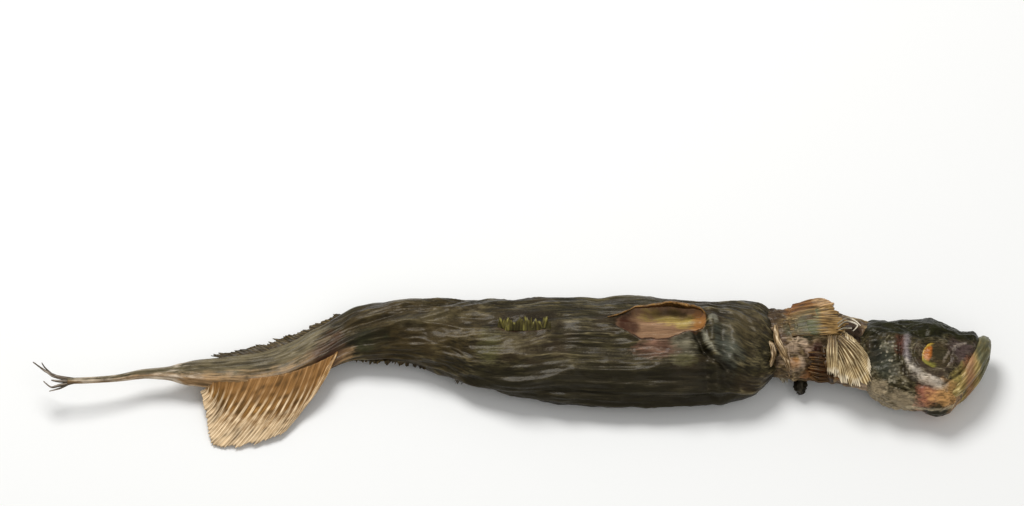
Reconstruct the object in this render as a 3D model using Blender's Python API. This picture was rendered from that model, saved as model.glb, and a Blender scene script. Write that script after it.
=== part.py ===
"""A whole dried stockfish, gutted and air dried, lying on a table.

The head is at +X and lies on its left cheek, so that its back points to +Y.
Behind the torn gills the trunk is rolled, so that the open belly slit faces up.
The thin tail turns back, so that its spread anal fin points to -Y.
Sizes below are millimetres, and every mesh is made in metres.
"""

import itertools
import math

import bmesh
import bpy
import numpy as np

MM = 0.001
# Brings the middle of the fish's box over the origin.
TO_CENTRE = (-0.25, -1.34, 0.0)

# The trunk and tail, from the caudal stalk to the shoulders.
# Each station is (along X, middle Y, middle Z, half width in Y, half height in Z).
TRUNK = (
    (-232, -10.0, 17.0, 1.5, 1.3),
    (-209, -7.5, 15.0, 1.9, 1.4),
    (-191, -3.5, 13.0, 2.8, 1.9),
    (-180, -2.8, 12.0, 3.8, 2.4),
    (-167, -1.7, 10.5, 7.2, 3.0),
    (-142, -0.7, 9.0, 9.2, 3.8),
    (-120, 3.0, 8.5, 11.5, 4.6),
    (-101, 12.0, 9.0, 13.0, 6.2),
    (-80, 21.5, 10.5, 14.0, 9.0),
    (-59, 23.0, 11.5, 16.7, 11.0),
    (-38, 20.5, 12.5, 20.0, 12.2),
    (-17, 15.5, 12.6, 25.5, 12.8),
    (15, 11.4, 12.8, 28.8, 13.2),
    (60, 9.2, 12.8, 30.4, 13.6),
    (105, 9.0, 13.2, 29.6, 14.0),
    (124, 10.2, 13.6, 26.6, 14.0),
    (143, 13.5, 13.6, 21.0, 12.0),
)
SHOULDER_ROUND = 17.0
# Where the rings stand: the share of the rings passed, and X there.
RING_SPREAD = ((0, -232), (0.22, -110), (0.40, -12), (1, 143))
# Where the belly line points in the section, in degrees from +Y towards +Z.
BELLY_LINE = ((-90, 186), (-60, 166), (-30, 126), (0, 96), (30, 78), (110, 78), (130, 96), (160, 150))

# The belly slit: how far it gapes along X, its half width and depth, and the flesh and lips in it.
SLIT_GAPE = ((-5, 0), (30, 0.22), (66, 0.9), (88, 1), (101, 0.8), (110, 0))
SLIT_HALF_WIDTH, SLIT_SEAM, SLIT_DEPTH = 11.0, 1.2, 8.5
TONGUE_SHARE = 0.62
LIP_HEIGHT, LIP_WIDTH = 2.0, 2.4

# Long folds of the trunk: degrees from the belly line, height and width in degrees.
TRUNK_FOLDS = (
    (58, 1.1, 9),
    (98, -1.4, 11),
    (128, 1.0, 9),
    (180, 1.5, 14),
    (-62, 1.0, 9),
    (-104, -1.4, 12),
)
FOLD_WANDER, FOLD_LENGTH = 7.0, 31.0
# Folds across the front of the belly: their X and height.
SHOULDER_FOLDS = ((101.5, 1.5), (111.0, -2.2), (117.5, 1.4))
SHOULDER_FACING, SHOULDER_SPAN, SHOULDER_FOLD_WIDTH = 110, 70, 3.4

# The torn neck between the trunk and the head.
NECK = (
    (120, 12.0, 14.0, 14.0, 7.0),
    (138, 13.0, 14.2, 16.5, 9.0),
    (160, 10.5, 14.2, 17.5, 9.6),
    (176, 8.2, 14.6, 19.0, 10.0),
    (196, 4.0, 14.8, 19.0, 10.0),
)
# Hollows and lumps on the neck's upper side: X, Y, radius and depth.
NECK_HOLLOWS = ((163, 0, 6.5, 6.5), (181, 12, 5.5, 5.0), (150, 8, 5.0, -1.6))
NECK_FACE_Z = 12.0

# The head, from the nape to the snout.
HEAD = (
    (182, 6.7, 14.6, 17.4, 8.0),
    (187, 4.8, 14.6, 21.2, 12.0),
    (194, 2.5, 14.6, 24.1, 14.4),
    (204, 1.3, 14.6, 25.2, 15.0),
    (212, 0.8, 14.6, 26.2, 15.2),
    (218, 0.0, 14.6, 28.2, 15.0),
    (223, -0.9, 14.6, 27.4, 14.2),
    (228, -1.2, 14.6, 25.0, 13.2),
    (233, 0.4, 14.6, 21.4, 11.6),
    (238, 4.0, 14.5, 16.0, 9.6),
    (243, 8.6, 14.4, 10.0, 7.0),
)
HEAD_MIDDLE_Z = 14.6
EYE_PLACE, EYE_RADIUS, EYE_OUT = (222.8, 1.6), 6.8, 11.2
EYEBALL_SHARE, EYEBALL_FLAT = 0.72, 0.5
SOCKET_DEPTH, SOCKET_RIM, RIM_WIDTH = 3.4, 1.3, 1.8
# The bent ridge of the gill cover: its X at the middle, bend, height and width.
GILL_RIDGE_X, GILL_RIDGE_BEND, GILL_RIDGE, GILL_RIDGE_WIDTH = 208, 0.02, 1.4, 2.0
# Hollows of the cheek and gill cover: X, Y, radius and depth.
HEAD_HOLLOWS = ((229, -8, 4, 1.3), (199, -4, 5, 1.5), (232, 9, 4, 0.9))
CHIN = (247.5, 14.5, 14.6)
JAW_PATH = ((247.0, 9.0, 17.6), (242.5, -4.0, 20.2), (234.5, -15.5, 20.4), (225.0, -23.0, 18.0))
JAW_RADII = (3.0, 3.5, 3.2, 3.4, 3.2, 3.5, 3.0)

# Each fin: its root line, its outer edge, rays, rows, ragged share, wave and seed.
FINS = {
    "anal_fan": (
        ((-84, 12, 9.5), (-104, 1.5, 8.5), (-124, -4, 8), (-146, -5.5, 8.5), (-164, -4.5, 9.5)),
        ((-106, -27, 3), (-124, -37, 2), (-143, -41.5, 2), (-157, -37, 2.5), (-161, -18, 5), (-165, -9, 7)),
        12, 5, 0.05, 1.2, 1,
    ),
    "pectoral": (
        ((170, 16.5, 21.5), (169, 12.5, 22.5), (168, 8.5, 22.5)),
        ((178, 15, 24.5), (184, 9, 25), (187.5, 0, 24.5), (184, -8, 22), (178.5, -14, 18.5), (171, -12, 19)),
        9, 5, 0.08, 0.7, 2,
    ),
    "upper_pectoral": (
        ((150, 29.5, 19.0), (151, 24.0, 22.0), (152, 18.5, 23.0)),
        ((176, 29.5, 23.0), (182, 26.5, 25.0), (184, 23.0, 26.5), (179, 19.5, 27.0)),
        6, 5, 0.08, 0.6, 3,
    ),
    "tail_back_fin": (
        ((-84, 31, 9.5), (-102, 21, 8.5), (-122, 11, 8.5), (-146, 6.5, 9.0)),
        ((-92, 36, 8.0), (-112, 25, 7.5), (-134, 16, 8.0), (-158, 10, 9.0)),
        8, 3, 0.25, 0.5, 4,
    ),
    "first_back_fin": (
        ((112, 24, 4.0), (92, 27, 3.6), (68, 28, 3.6)),
        ((96, 42, 3.6), (78, 44, 3.0), (60, 40, 3.6)),
        6, 3, 0.15, 0.5, 5,
    ),
    "second_back_fin": (
        ((44, 28, 3.6), (18, 27, 3.6), (-14, 28, 3.4)),
        ((28, 43, 3.2), (2, 43.5, 3.0), (-30, 40, 3.6)),
        8, 3, 0.15, 0.5, 6,
    ),
}
FIN_THICKNESS, RAY_HEIGHT = 0.95, 0.75

# Each bone or ray: its path and the radii along it.
RODS = {
    "shoulder_bone": (
        ((139, 26, 20), (136.5, 14, 24.5), (138.5, -2, 21), (142, -7, 12)),
        (1.6, 1.9, 1.8, 1.2),
    ),
    "collar_bone": (
        ((146, 27, 18), (144, 18, 24.5), (147.5, 0, 22.5), (151.5, -8, 11)),
        (1.6, 2.2, 2.0, 1.3),
    ),
    "gill_arch": (((168, -9, 8), (163, -9, 20), (157, 3, 22), (154, 8, 18)), (1.6, 1.8, 1.6, 1.4)),
    "throat_fin": (((151, -3, 9), (150.5, -9, 7), (152, -12.5, 4)), (2.0, 1.6, 0.9)),
    "long_tail_ray": (
        ((-230, -9.8, 16.8), (-237, -8.6, 18.5), (-243, -6, 20), (-250, -1.4, 22)),
        (1.5, 1.2, 1.0, 0.6),
    ),
    "low_tail_ray": (
        ((-230, -9.8, 16.8), (-236, -12.5, 16.5), (-240, -13.2, 16), (-244.5, -9.5, 16)),
        (1.4, 1.1, 0.8, 0.5),
    ),
    "short_tail_ray": (((-230, -9.8, 16.8), (-236, -10.6, 17.5), (-240.5, -10, 18)), (1.3, 0.9, 0.5)),
}
# The comb of broken ray stumps behind the vent.
STUMPS, STUMP_START, STUMP_PITCH = 9, -6.0, 2.9
STUMP_FOOT, STUMP_TIP, STUMP_RADII = (19.0, 21.0), (20.5, 27.5), (0.8, 0.6)
STUMP_LEAN, STUMP_DROP = 0.8, 0.12

WORK = []


def smooth(x, stations, column=1):
    """A curve through the stations that never swings past them (monotone cubic)."""
    table = np.array([[row[0], row[column]] for row in stations], float)
    knots, values = table[:, 0], table[:, 1]
    steps = np.diff(values) / np.diff(knots)
    slopes = np.zeros(len(knots))
    for i in range(1, len(knots) - 1):
        if steps[i - 1] * steps[i] > 0:
            slopes[i] = 2 * steps[i - 1] * steps[i] / (steps[i - 1] + steps[i])
    x = np.clip(x, knots[0], knots[-1])
    i = np.clip(np.searchsorted(knots, x) - 1, 0, len(knots) - 2)
    width = knots[i + 1] - knots[i]
    t = (x - knots[i]) / width
    return (
        values[i] * (1 + 2 * t) * (1 - t) ** 2
        + values[i + 1] * t * t * (3 - 2 * t)
        + slopes[i] * width * t * (1 - t) ** 2
        - slopes[i + 1] * width * t * t * (1 - t)
    )


def lumps(points, size, seed):
    """Smooth random lumps of about this size, from -1 to 1, the same each run."""
    cell = np.floor(points / size)
    part = points / size - cell
    part = part * part * (3 - 2 * part)
    total = np.zeros(points.shape[:-1])
    for corner in itertools.product((0, 1), repeat=3):
        mixed = np.sin((cell + corner) @ np.array((127.1, 311.7, 74.7)) + 19.19 * seed) * 43758.5453
        value = 2 * (mixed - np.floor(mixed)) - 1
        total += value * np.prod(np.where(corner, part, 1 - part), axis=-1)
    return total


def bump(distance, width):
    """1 in the middle, falling to 0 about two widths away."""
    return np.exp(-((distance / width) ** 2))


def turned(angle, middle):
    """The angle's distance from middle, in degrees, between -180 and 180."""
    return (angle - middle + 180) % 360 - 180


def section(x, angle, stations, relief, floor):
    """Points round the sections at x, pushed out by the relief and kept above the floor."""
    middle_y, middle_z, half_y, half_z = (smooth(x, stations, column) for column in (1, 2, 3, 4))
    across, up = np.cos(np.radians(angle)), np.sin(np.radians(angle))
    out = np.stack([across / half_y, up / half_z])
    out = out / np.linalg.norm(out, axis=0)
    push = relief * np.clip(np.minimum(half_y, half_z) / 8, 0.12, 1)
    y = middle_y + half_y * across + push * out[0]
    z = np.maximum(middle_z + half_z * up + push * out[1], floor)
    return np.stack([x + 0 * angle, y, z], axis=-1)


def body_mesh(name, bm):
    """A mesh object from a closed bmesh in millimetres."""
    bmesh.ops.translate(bm, vec=TO_CENTRE, verts=bm.verts)
    bmesh.ops.scale(bm, vec=(MM, MM, MM), verts=bm.verts)
    bmesh.ops.recalc_face_normals(bm, faces=bm.faces)
    mesh = bpy.data.meshes.new(name)
    bm.to_mesh(mesh)
    bm.free()
    made = bpy.data.objects.new(name, mesh)
    WORK.append(made)
    return made


def loft(name, rings):
    """A closed skin over rings of points, with a fan of faces over each end."""
    bm = bmesh.new()
    rows = [[bm.verts.new(point) for point in ring] for ring in rings]
    count = len(rows[0])
    for near, far in zip(rows, rows[1:]):
        for i in range(count):
            j = (i + 1) % count
            bm.faces.new((near[i], near[j], far[j], far[i]))
    for row, ring in ((rows[0], rings[0]), (rows[-1], rings[-1])):
        centre = bm.verts.new(np.mean(ring, axis=0))
        for i in range(count):
            bm.faces.new((row[i], row[(i + 1) % count], centre))
    return body_mesh(name, bm)


def sheet(name, middle, thickness):
    """A thin closed solid on a grid of points, with both faces split into triangles alike."""
    along = np.gradient(middle, axis=0)
    across = np.gradient(middle, axis=1)
    normal = np.cross(along, across)
    normal /= np.linalg.norm(normal, axis=-1, keepdims=True) + 1e-9
    bm = bmesh.new()
    faces = []
    for side in (0.5, -0.5):
        points = middle + side * normal * thickness[..., None]
        faces.append([[bm.verts.new(point) for point in row] for row in points])
    rows, columns = middle.shape[:2]
    for grid in faces:
        for i in range(rows - 1):
            for j in range(columns - 1):
                a, b, c, d = grid[i][j], grid[i + 1][j], grid[i + 1][j + 1], grid[i][j + 1]
                bm.faces.new((a, b, c))
                bm.faces.new((a, c, d))
    border = [(i, 0) for i in range(rows)] + [(rows - 1, j) for j in range(1, columns)]
    border += [(i, columns - 1) for i in range(rows - 2, -1, -1)]
    border += [(0, j) for j in range(columns - 2, 0, -1)]
    for (i, j), (k, m) in zip(border, border[1:] + border[:1]):
        bm.faces.new((faces[0][i][j], faces[0][k][m], faces[1][k][m], faces[1][i][j]))
    return body_mesh(name, bm)


def along_path(points, t):
    """Points at the shares t of a smooth path through the given points."""
    knots = np.linspace(0, 1, len(points))
    table = [(knot, *point) for knot, point in zip(knots, points)]
    return np.stack([smooth(t, table, column) for column in (1, 2, 3)], axis=-1)


def bar(name, path, radii, sides=6, steps=8):
    """A round bar along a smooth path, with the given radii spread along it."""
    t = np.linspace(0, 1, steps)
    middle = along_path(path, t)
    radius = np.interp(t, np.linspace(0, 1, len(radii)), radii)
    heading = np.gradient(middle, axis=0)
    heading /= np.linalg.norm(heading, axis=1, keepdims=True)
    side = np.array((0.43, 0.52, 0.74))
    rings = []
    for centre, ahead, size in zip(middle, heading, radius):
        side = side - ahead * (side @ ahead)
        side /= np.linalg.norm(side)
        top = np.cross(side, ahead)
        angles = np.radians(np.arange(sides) * 360 / sides)
        rings.append([centre + size * (math.cos(a) * side + math.sin(a) * top) for a in angles])
    return loft(name, rings)


def trunk_relief(x, from_belly, angle):
    """The slit with its flesh and lips, the long folds, and the folds over the shoulders."""
    gape = smooth(x, SLIT_GAPE)
    half_gap = SLIT_HALF_WIDTH * gape + SLIT_SEAM
    aside = np.radians(from_belly) * smooth(x, TRUNK, 3)
    inside = np.clip(1.25 - (aside / half_gap) ** 2, 0, 1)
    tongue = TONGUE_SHARE * bump(aside + 0.1 * half_gap, 0.45 * half_gap)
    relief = -SLIT_DEPTH * gape * inside * (1 - tongue)
    relief = relief + LIP_HEIGHT * np.sqrt(gape) * bump(np.abs(aside) - half_gap - 1.6, LIP_WIDTH)
    for place, height, width in TRUNK_FOLDS:
        wander = FOLD_WANDER * np.sin(x / FOLD_LENGTH + place)
        relief = relief + height * bump(turned(from_belly, place + wander), width)
    from_side = turned(angle, SHOULDER_FACING)
    for place, height in SHOULDER_FOLDS:
        across = bump(x - place - 0.04 * from_side, SHOULDER_FOLD_WIDTH)
        relief = relief + height * across * bump(from_side, SHOULDER_SPAN)
    return relief


def make_trunk(rings=66, around=38):
    """The rolled trunk and the flat tail, with columns that follow the belly line and crowd round it."""
    spread = np.array(RING_SPREAD)
    x = np.interp(np.linspace(0, 1, rings), spread[:, 0], spread[:, 1])[:, None]
    share = np.linspace(-1, 1, around, endpoint=False)[None, :]
    from_belly = 180 * (0.62 * share + 0.38 * share**3)
    angle = smooth(x, BELLY_LINE) + from_belly
    relief = trunk_relief(x, from_belly, angle)
    points = section(x, angle, TRUNK, relief, 0)
    relief = relief + 1.3 * lumps(points, 21, 1) + 0.7 * lumps(points, 9, 2)
    points = section(x, angle, TRUNK, relief, 0)
    end = np.clip((x[:, 0] - (TRUNK[-1][0] - SHOULDER_ROUND)) / SHOULDER_ROUND, 0, 0.985)
    closing = np.sqrt(1 - end**2)[:, None, None]
    middle = np.stack([smooth(x, TRUNK, 1), smooth(x, TRUNK, 2)], axis=-1)
    points[..., 1:] = middle + (points[..., 1:] - middle) * closing
    return loft("trunk", points)


def hollowed(points, hollows, relief, facing):
    """The relief with round hollows and lumps sunk into it on the faces given."""
    for place_x, place_y, radius, depth in hollows:
        near = np.hypot(points[..., 0] - place_x, points[..., 1] - place_y)
        relief = relief - depth * bump(near, radius) * facing
    return relief


def grid(stations, rings, around):
    """Sections evenly spread over the stations: X and angle."""
    x = np.linspace(stations[0][0], stations[-1][0], rings)[:, None]
    angle = (np.arange(around) * 360 / around)[None, :]
    return x, angle


def make_neck(rings=14, around=24):
    """The torn neck: spine and nape along +Y, the throat along -Y, and the open gill cavity between."""
    x, angle = grid(NECK, rings, around)
    flat = np.zeros((rings, around))
    points = section(x, angle, NECK, flat, 1.0)
    relief = hollowed(points, NECK_HOLLOWS, flat, points[..., 2] > NECK_FACE_Z)
    relief = relief + 1.4 * lumps(points, 8, 3)
    return loft("neck", section(x, angle, NECK, relief, 1.0))


def make_head(rings=32, around=34):
    """The head, squashed flat in drying, with sunken eyes and sharp gill cover bones."""
    x, angle = grid(HEAD, rings, around)
    flat = np.zeros((rings, around))
    points = section(x, angle, HEAD, flat, 0)
    flank = np.abs(np.sin(np.radians(angle)))
    from_eye = np.hypot(points[..., 0] - EYE_PLACE[0], points[..., 1] - EYE_PLACE[1])
    relief = -SOCKET_DEPTH * bump(from_eye, EYE_RADIUS * 0.8) * flank
    relief = relief + SOCKET_RIM * bump(from_eye - EYE_RADIUS - 1.5, RIM_WIDTH) * flank
    bend = GILL_RIDGE_BEND * (points[..., 1] - 2) ** 2
    relief = relief + GILL_RIDGE * bump(points[..., 0] - GILL_RIDGE_X - bend, GILL_RIDGE_WIDTH) * flank
    relief = hollowed(points, HEAD_HOLLOWS, relief, flank)
    relief = relief + 0.9 * lumps(points, 9, 4)
    return loft("head", section(x, angle, HEAD, relief, 0))


def make_jaw():
    """The lower jaw: two bones that meet in the raised chin."""
    right = list(JAW_PATH)
    left = [(x, y, 2 * HEAD_MIDDLE_Z - z) for x, y, z in right]
    bar("jaw", right[::-1] + [CHIN] + left, JAW_RADII, sides=7, steps=17)


def make_eyes():
    """The shrunken eyes, one in each socket."""
    for side in (1, -1):
        bm = bmesh.new()
        bmesh.ops.create_uvsphere(bm, u_segments=10, v_segments=6, radius=EYE_RADIUS * EYEBALL_SHARE)
        bmesh.ops.scale(bm, vec=(1, 1, EYEBALL_FLAT), verts=bm.verts)
        bmesh.ops.translate(bm, vec=(*EYE_PLACE, HEAD_MIDDLE_Z + side * EYE_OUT), verts=bm.verts)
        body_mesh("eye", bm)


def make_fin(name, root, edge, rays, rows, ragged, wave, seed):
    """A dried fin: thin skin between a root line and an outer edge, with a ridge along each ray."""
    columns = 2 * rays + 1
    u = np.linspace(0, 1, columns)
    v = np.linspace(0, 1, rows)[None, :, None]
    foot, tip = along_path(root, u)[:, None], along_path(edge, u)[:, None]
    reach = 1 + ragged * lumps(np.stack([u * 37, 0 * u, 0 * u], axis=-1), 1, seed)[:, None, None]
    middle = foot + (tip - foot) * v * reach
    curl = wave * np.sin(v[..., 0] * 5 + u[:, None] * 9 + seed) * v[..., 0]
    middle[..., 2] = np.maximum(middle[..., 2] + curl, 1.0)
    ray = (np.arange(columns) % 2)[:, None] * (1 - 0.6 * v[..., 0])
    return sheet(name, middle, FIN_THICKNESS + RAY_HEIGHT * ray)


def make_stumps():
    """The comb of ray stumps that is left of the first anal fin."""
    for i in range(STUMPS):
        x = STUMP_START + STUMP_PITCH * i
        tip_y, tip_z = STUMP_TIP
        path = ((x, *STUMP_FOOT), (x - STUMP_LEAN, tip_y, tip_z - STUMP_DROP * abs(i - STUMPS // 2)))
        bar("ray_stump", path, STUMP_RADII, sides=5, steps=2)


def keep_largest_shell(mesh):
    """Fills the small hollows that joining sealed, and drops loose scraps: only the outer shell stays."""
    bm = bmesh.new()
    bm.from_mesh(mesh)
    unseen = set(bm.verts)
    shells = []
    while unseen:
        shell = [unseen.pop()]
        for vert in shell:
            near = {edge.other_vert(vert) for edge in vert.link_edges} & unseen
            unseen -= near
            shell.extend(near)
        shells.append(shell)
    shells.sort(key=len)
    for shell in shells[:-1]:
        bmesh.ops.delete(bm, geom=shell, context="VERTS")
    bm.to_mesh(mesh)
    bm.free()


def join_all(name):
    """One solid: a Boolean union of the trunk with every other piece."""
    scene = bpy.context.scene.collection
    trunk, *others = WORK
    trunk.name = name
    scene.objects.link(trunk)
    pieces = bpy.data.collections.new("pieces")
    scene.children.link(pieces)
    for piece in others:
        pieces.objects.link(piece)
    union = trunk.modifiers.new("union", "BOOLEAN")
    union.operation = "UNION"
    union.solver = "EXACT"
    union.use_self = True
    union.operand_type = "COLLECTION"
    union.collection = pieces
    bpy.context.view_layer.objects.active = trunk
    bpy.ops.object.modifier_apply(modifier=union.name)
    for piece in others:
        bpy.data.objects.remove(piece)
    bpy.data.collections.remove(pieces)
    keep_largest_shell(trunk.data)
    trunk.data.shade_smooth()
    return trunk


def dried_skin():
    """Dark olive skin with a dull oily gloss."""
    material = bpy.data.materials.new("dried_fish_skin")
    material.use_nodes = True
    shader = material.node_tree.nodes["Principled BSDF"]
    shader.inputs["Base Color"].default_value = (0.10, 0.08, 0.05, 1)
    shader.inputs["Roughness"].default_value = 0.45
    shader.inputs["Metallic"].default_value = 0
    return material


def main():
    for old in list(bpy.data.objects):
        bpy.data.objects.remove(old)
    make_trunk()
    make_neck()
    make_head()
    make_jaw()
    make_eyes()
    for name, shape in FINS.items():
        make_fin(name, *shape)
    for name, (path, radii) in RODS.items():
        bar(name, path, radii)
    make_stumps()
    fish = join_all("stockfish")
    fish.data.materials.clear()
    fish.data.materials.append(dried_skin())


main()
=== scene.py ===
import itertools
import math

import bpy
import numpy as np
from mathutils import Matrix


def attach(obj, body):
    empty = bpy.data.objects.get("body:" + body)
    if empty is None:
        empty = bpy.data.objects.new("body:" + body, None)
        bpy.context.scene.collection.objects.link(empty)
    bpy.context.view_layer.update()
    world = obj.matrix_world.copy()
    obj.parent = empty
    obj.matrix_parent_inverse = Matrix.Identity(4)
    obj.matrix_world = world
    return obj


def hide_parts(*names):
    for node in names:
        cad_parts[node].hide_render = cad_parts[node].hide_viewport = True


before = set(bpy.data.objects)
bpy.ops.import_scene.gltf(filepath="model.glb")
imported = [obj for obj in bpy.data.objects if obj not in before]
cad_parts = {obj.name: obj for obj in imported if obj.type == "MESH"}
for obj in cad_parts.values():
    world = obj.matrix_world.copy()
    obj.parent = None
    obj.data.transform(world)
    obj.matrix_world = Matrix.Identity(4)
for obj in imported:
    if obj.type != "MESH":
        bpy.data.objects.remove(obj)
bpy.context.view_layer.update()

# Trunk and tail: the gutted body of a small fish, dried in the wind until the skin shrank on to the
# muscle in long wrinkles. It is rolled behind the neck, so that the belly slit faces up, and the tail
# lies flat. All sizes are millimetres, in the same places as the solid that this skin stands for.

MM = 0.001
TO_CENTRE = (-0.25, -1.34, 0.0)

# Each station is (along X, middle Y, middle Z, half width in Y, half height in Z).
TRUNK = (
    (-232, -10.0, 17.0, 1.5, 1.3),
    (-209, -7.5, 15.0, 1.9, 1.4),
    (-191, -3.5, 13.0, 2.8, 1.9),
    (-180, -2.8, 12.0, 3.8, 2.4),
    (-167, -1.7, 10.5, 7.2, 3.0),
    (-142, -0.7, 9.0, 9.2, 3.8),
    (-120, 3.0, 8.5, 11.5, 4.6),
    (-101, 12.0, 9.0, 13.0, 6.2),
    (-80, 21.5, 10.5, 14.0, 9.0),
    (-59, 23.0, 11.5, 16.7, 11.0),
    (-38, 20.5, 12.5, 20.0, 12.2),
    (-17, 15.5, 12.6, 25.5, 12.8),
    (15, 11.4, 12.8, 28.8, 13.2),
    (60, 9.2, 12.8, 30.4, 13.6),
    (105, 9.0, 13.2, 29.6, 14.0),
    (124, 10.2, 13.6, 26.6, 14.0),
    (143, 13.5, 13.6, 21.0, 12.0),
)
SHOULDER_ROUND = 17.0
# How far along X each share of the rings reaches: they lie closest over the belly.
RING_SPREAD = ((0, -232), (0.14, -165), (0.36, -60), (1, 143))
# Where the belly line points in the section, in degrees from +Y towards +Z.
BELLY_LINE = ((-90, 186), (-60, 166), (-30, 126), (0, 90), (30, 67), (105, 66), (130, 92), (160, 150))
# Where the grain of the skin points, which twists less than the body does.
GRAIN_LINE = ((-90, 108), (-30, 92), (0, 80), (30, 67), (105, 66), (130, 92), (160, 150))

# How wide the slit gapes at each X, as a share of its full half width.
SLIT_GAPE = ((0, 0), (44, 0), (52, 0.14), (60, 0.55), (68, 0.95), (84, 1), (98, 0.74), (103.5, 0))
SLIT_HALF_WIDTH, SLIT_SEAM, SLIT_DEPTH = 9.6, 0.8, 6.5
# The lower edge of the slit rises towards the head by this share, between these two places.
LOWER_EDGE_RISE, RISE_FROM, RISE_TO = 0.34, 74.0, 99.0
# The flesh that swells in the slit: the share of the depth that it fills, and how far aside and how
# wide it is, as shares of the half width.
TONGUE_SHARE, TONGUE_ASIDE, TONGUE_WIDTH = 0.72, 0.12, 0.62
# The swollen edge round the slit: its height and width, and how far outside the edge it stands.
LIP_HEIGHT, LIP_WIDTH, LIP_OUTSIDE = 1.6, 2.2, 1.6
# How ragged the edge is: the share of the half width, the size of a tear, and its seed.
SLIT_TEARS = ((0.13, 8, 5), (0.1, 2.8, 6))

# Long folds: degrees from the belly line, height and width in degrees.
TRUNK_FOLDS = (
    (58, 1.5, 9),
    (98, -2.2, 10),
    (128, 1.4, 9),
    (180, 1.5, 14),
    (-62, 1.4, 8),
    (-104, -1.8, 12),
)
# The long folds wander this many degrees to each side, over this length.
FOLD_WANDER, FOLD_LENGTH = 7.0, 31.0
# Folds over the shoulders: X and height. They face this angle and span this many degrees.
SHOULDER_FOLDS = ((105.0, 1.7), (101.8, -1.8), (110.5, -1.2), (117.5, 0.9))
SHOULDER_FACING, SHOULDER_SPAN, SHOULDER_FOLD_WIDTH = 110, 70, 3.4

# The deep crease from the end of the slit down over the shoulder: X and Y, its depth and width.
CREASE_LINE = ((95.8, 13.0), (98.4, 6.0), (103.6, -1.2), (110.5, -5.6), (119.0, -9.6), (125.0, -15.0))
CREASE_DEPTH, CREASE_WIDTH = 1.9, 1.5
# The fold that stands up beside the crease: X and Y, its height and width.
FOLD_LINE = ((100.0, 13.5), (102.2, 7.0), (106.6, 0.8), (113.0, -2.6), (121.0, -6.6))
FOLD_HEIGHT, FOLD_WIDTH = 1.2, 1.7

# Lumps under the skin: height, size and seed.
TRUNK_LUMPS = ((1.3, 21, 1), (0.7, 9, 2))
# Wrinkles of the shrunk skin: length and width of one wrinkle, its height and seed.
TRUNK_WRINKLES = ((54, 5.2, 1.2, 11), (26, 2.7, 0.55, 12), (9, 1.7, 0.28, 13))
# A fold's usual value between 0 and 1, so that wrinkles don't swell the body. In the wet slit the
# wrinkles are lower by this share.
FOLD_MEAN, SLIT_SMOOTHER = 0.4, 0.55
# Coloured patches have edges this ragged, and a line is followed from spot to spot.
PATCH_RAGGED, SPOTS_ON_LINE = 0.28, 50


def smooth(x, stations, column=1):
    """A curve through the stations that never swings past them (monotone cubic)."""
    table = np.array([[row[0], row[column]] for row in stations], float)
    knots, values = table[:, 0], table[:, 1]
    steps = np.diff(values) / np.diff(knots)
    slopes = np.zeros(len(knots))
    for i in range(1, len(knots) - 1):
        if steps[i - 1] * steps[i] > 0:
            slopes[i] = 2 * steps[i - 1] * steps[i] / (steps[i - 1] + steps[i])
    x = np.clip(x, knots[0], knots[-1])
    i = np.clip(np.searchsorted(knots, x) - 1, 0, len(knots) - 2)
    width = knots[i + 1] - knots[i]
    t = (x - knots[i]) / width
    return (
        values[i] * (1 + 2 * t) * (1 - t) ** 2
        + values[i + 1] * t * t * (3 - 2 * t)
        + slopes[i] * width * t * (1 - t) ** 2
        - slopes[i + 1] * width * t * t * (1 - t)
    )


def lumps(points, size, seed):
    """Smooth random lumps of about this size, from -1 to 1, the same each run."""
    cell = np.floor(points / size)
    part = points / size - cell
    part = part * part * (3 - 2 * part)
    total = np.zeros(points.shape[:-1])
    for corner in itertools.product((0, 1), repeat=3):
        mixed = np.sin((cell + corner) @ np.array((127.1, 311.7, 74.7)) + 19.19 * seed) * 43758.5453
        value = 2 * (mixed - np.floor(mixed)) - 1
        total += value * np.prod(np.where(corner, part, 1 - part), axis=-1)
    return total


def lumpy(points, sizes):
    """Lumps of several sizes together: height, size and seed."""
    return sum(height * lumps(points, size, seed) for height, size, seed in sizes)


def wrinkles(points, long, wide, seed):
    """Shrunk skin: sharp folds (1) with soft hollows (0) between, drawn out along the first axis."""
    stretched = points / np.array((long, wide, wide))
    stretched = stretched + 0.45 * lumps(stretched, 2.1, seed + 50)[..., None]
    return np.clip(1 - 2.2 * np.abs(lumps(stretched, 1, seed)), 0, 1) ** 0.8


def shrunk(points, sizes):
    """Wrinkles of several sizes, as a list of their folds, and the relief that they make together."""
    folds = [wrinkles(points, long, wide, seed) for long, wide, height, seed in sizes]
    return folds, sum(row[2] * (fold - FOLD_MEAN) for row, fold in zip(sizes, folds))


def bump(distance, width):
    """1 in the middle, falling to 0 about two widths away."""
    return np.exp(-((distance / width) ** 2))


def fade(value, low, high):
    """0 below low and 1 above high, with a soft step between."""
    t = np.clip((value - low) / (high - low), 0, 1)
    return t * t * (3 - 2 * t)


def turned(angle, middle):
    """The angle's distance from middle, in degrees, between -180 and 180."""
    return (angle - middle + 180) % 360 - 180


def from_line(points, line):
    """How far each point lies from a line of points: seen from above where it has only X and Y."""
    spots = along_path(line, np.linspace(0, 1, SPOTS_ON_LINE))
    away = [np.linalg.norm(points[..., :spots.shape[1]] - spot, axis=-1) for spot in spots]
    return np.minimum.reduce(away)


def along_path(points, t):
    """Points at the shares t of a smooth path through the given points."""
    knots = np.linspace(0, 1, len(points))
    table = [(knot, *point) for knot, point in zip(knots, points)]
    return np.stack([smooth(t, table, column) for column in range(1, len(table[0]))], axis=-1)


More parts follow.
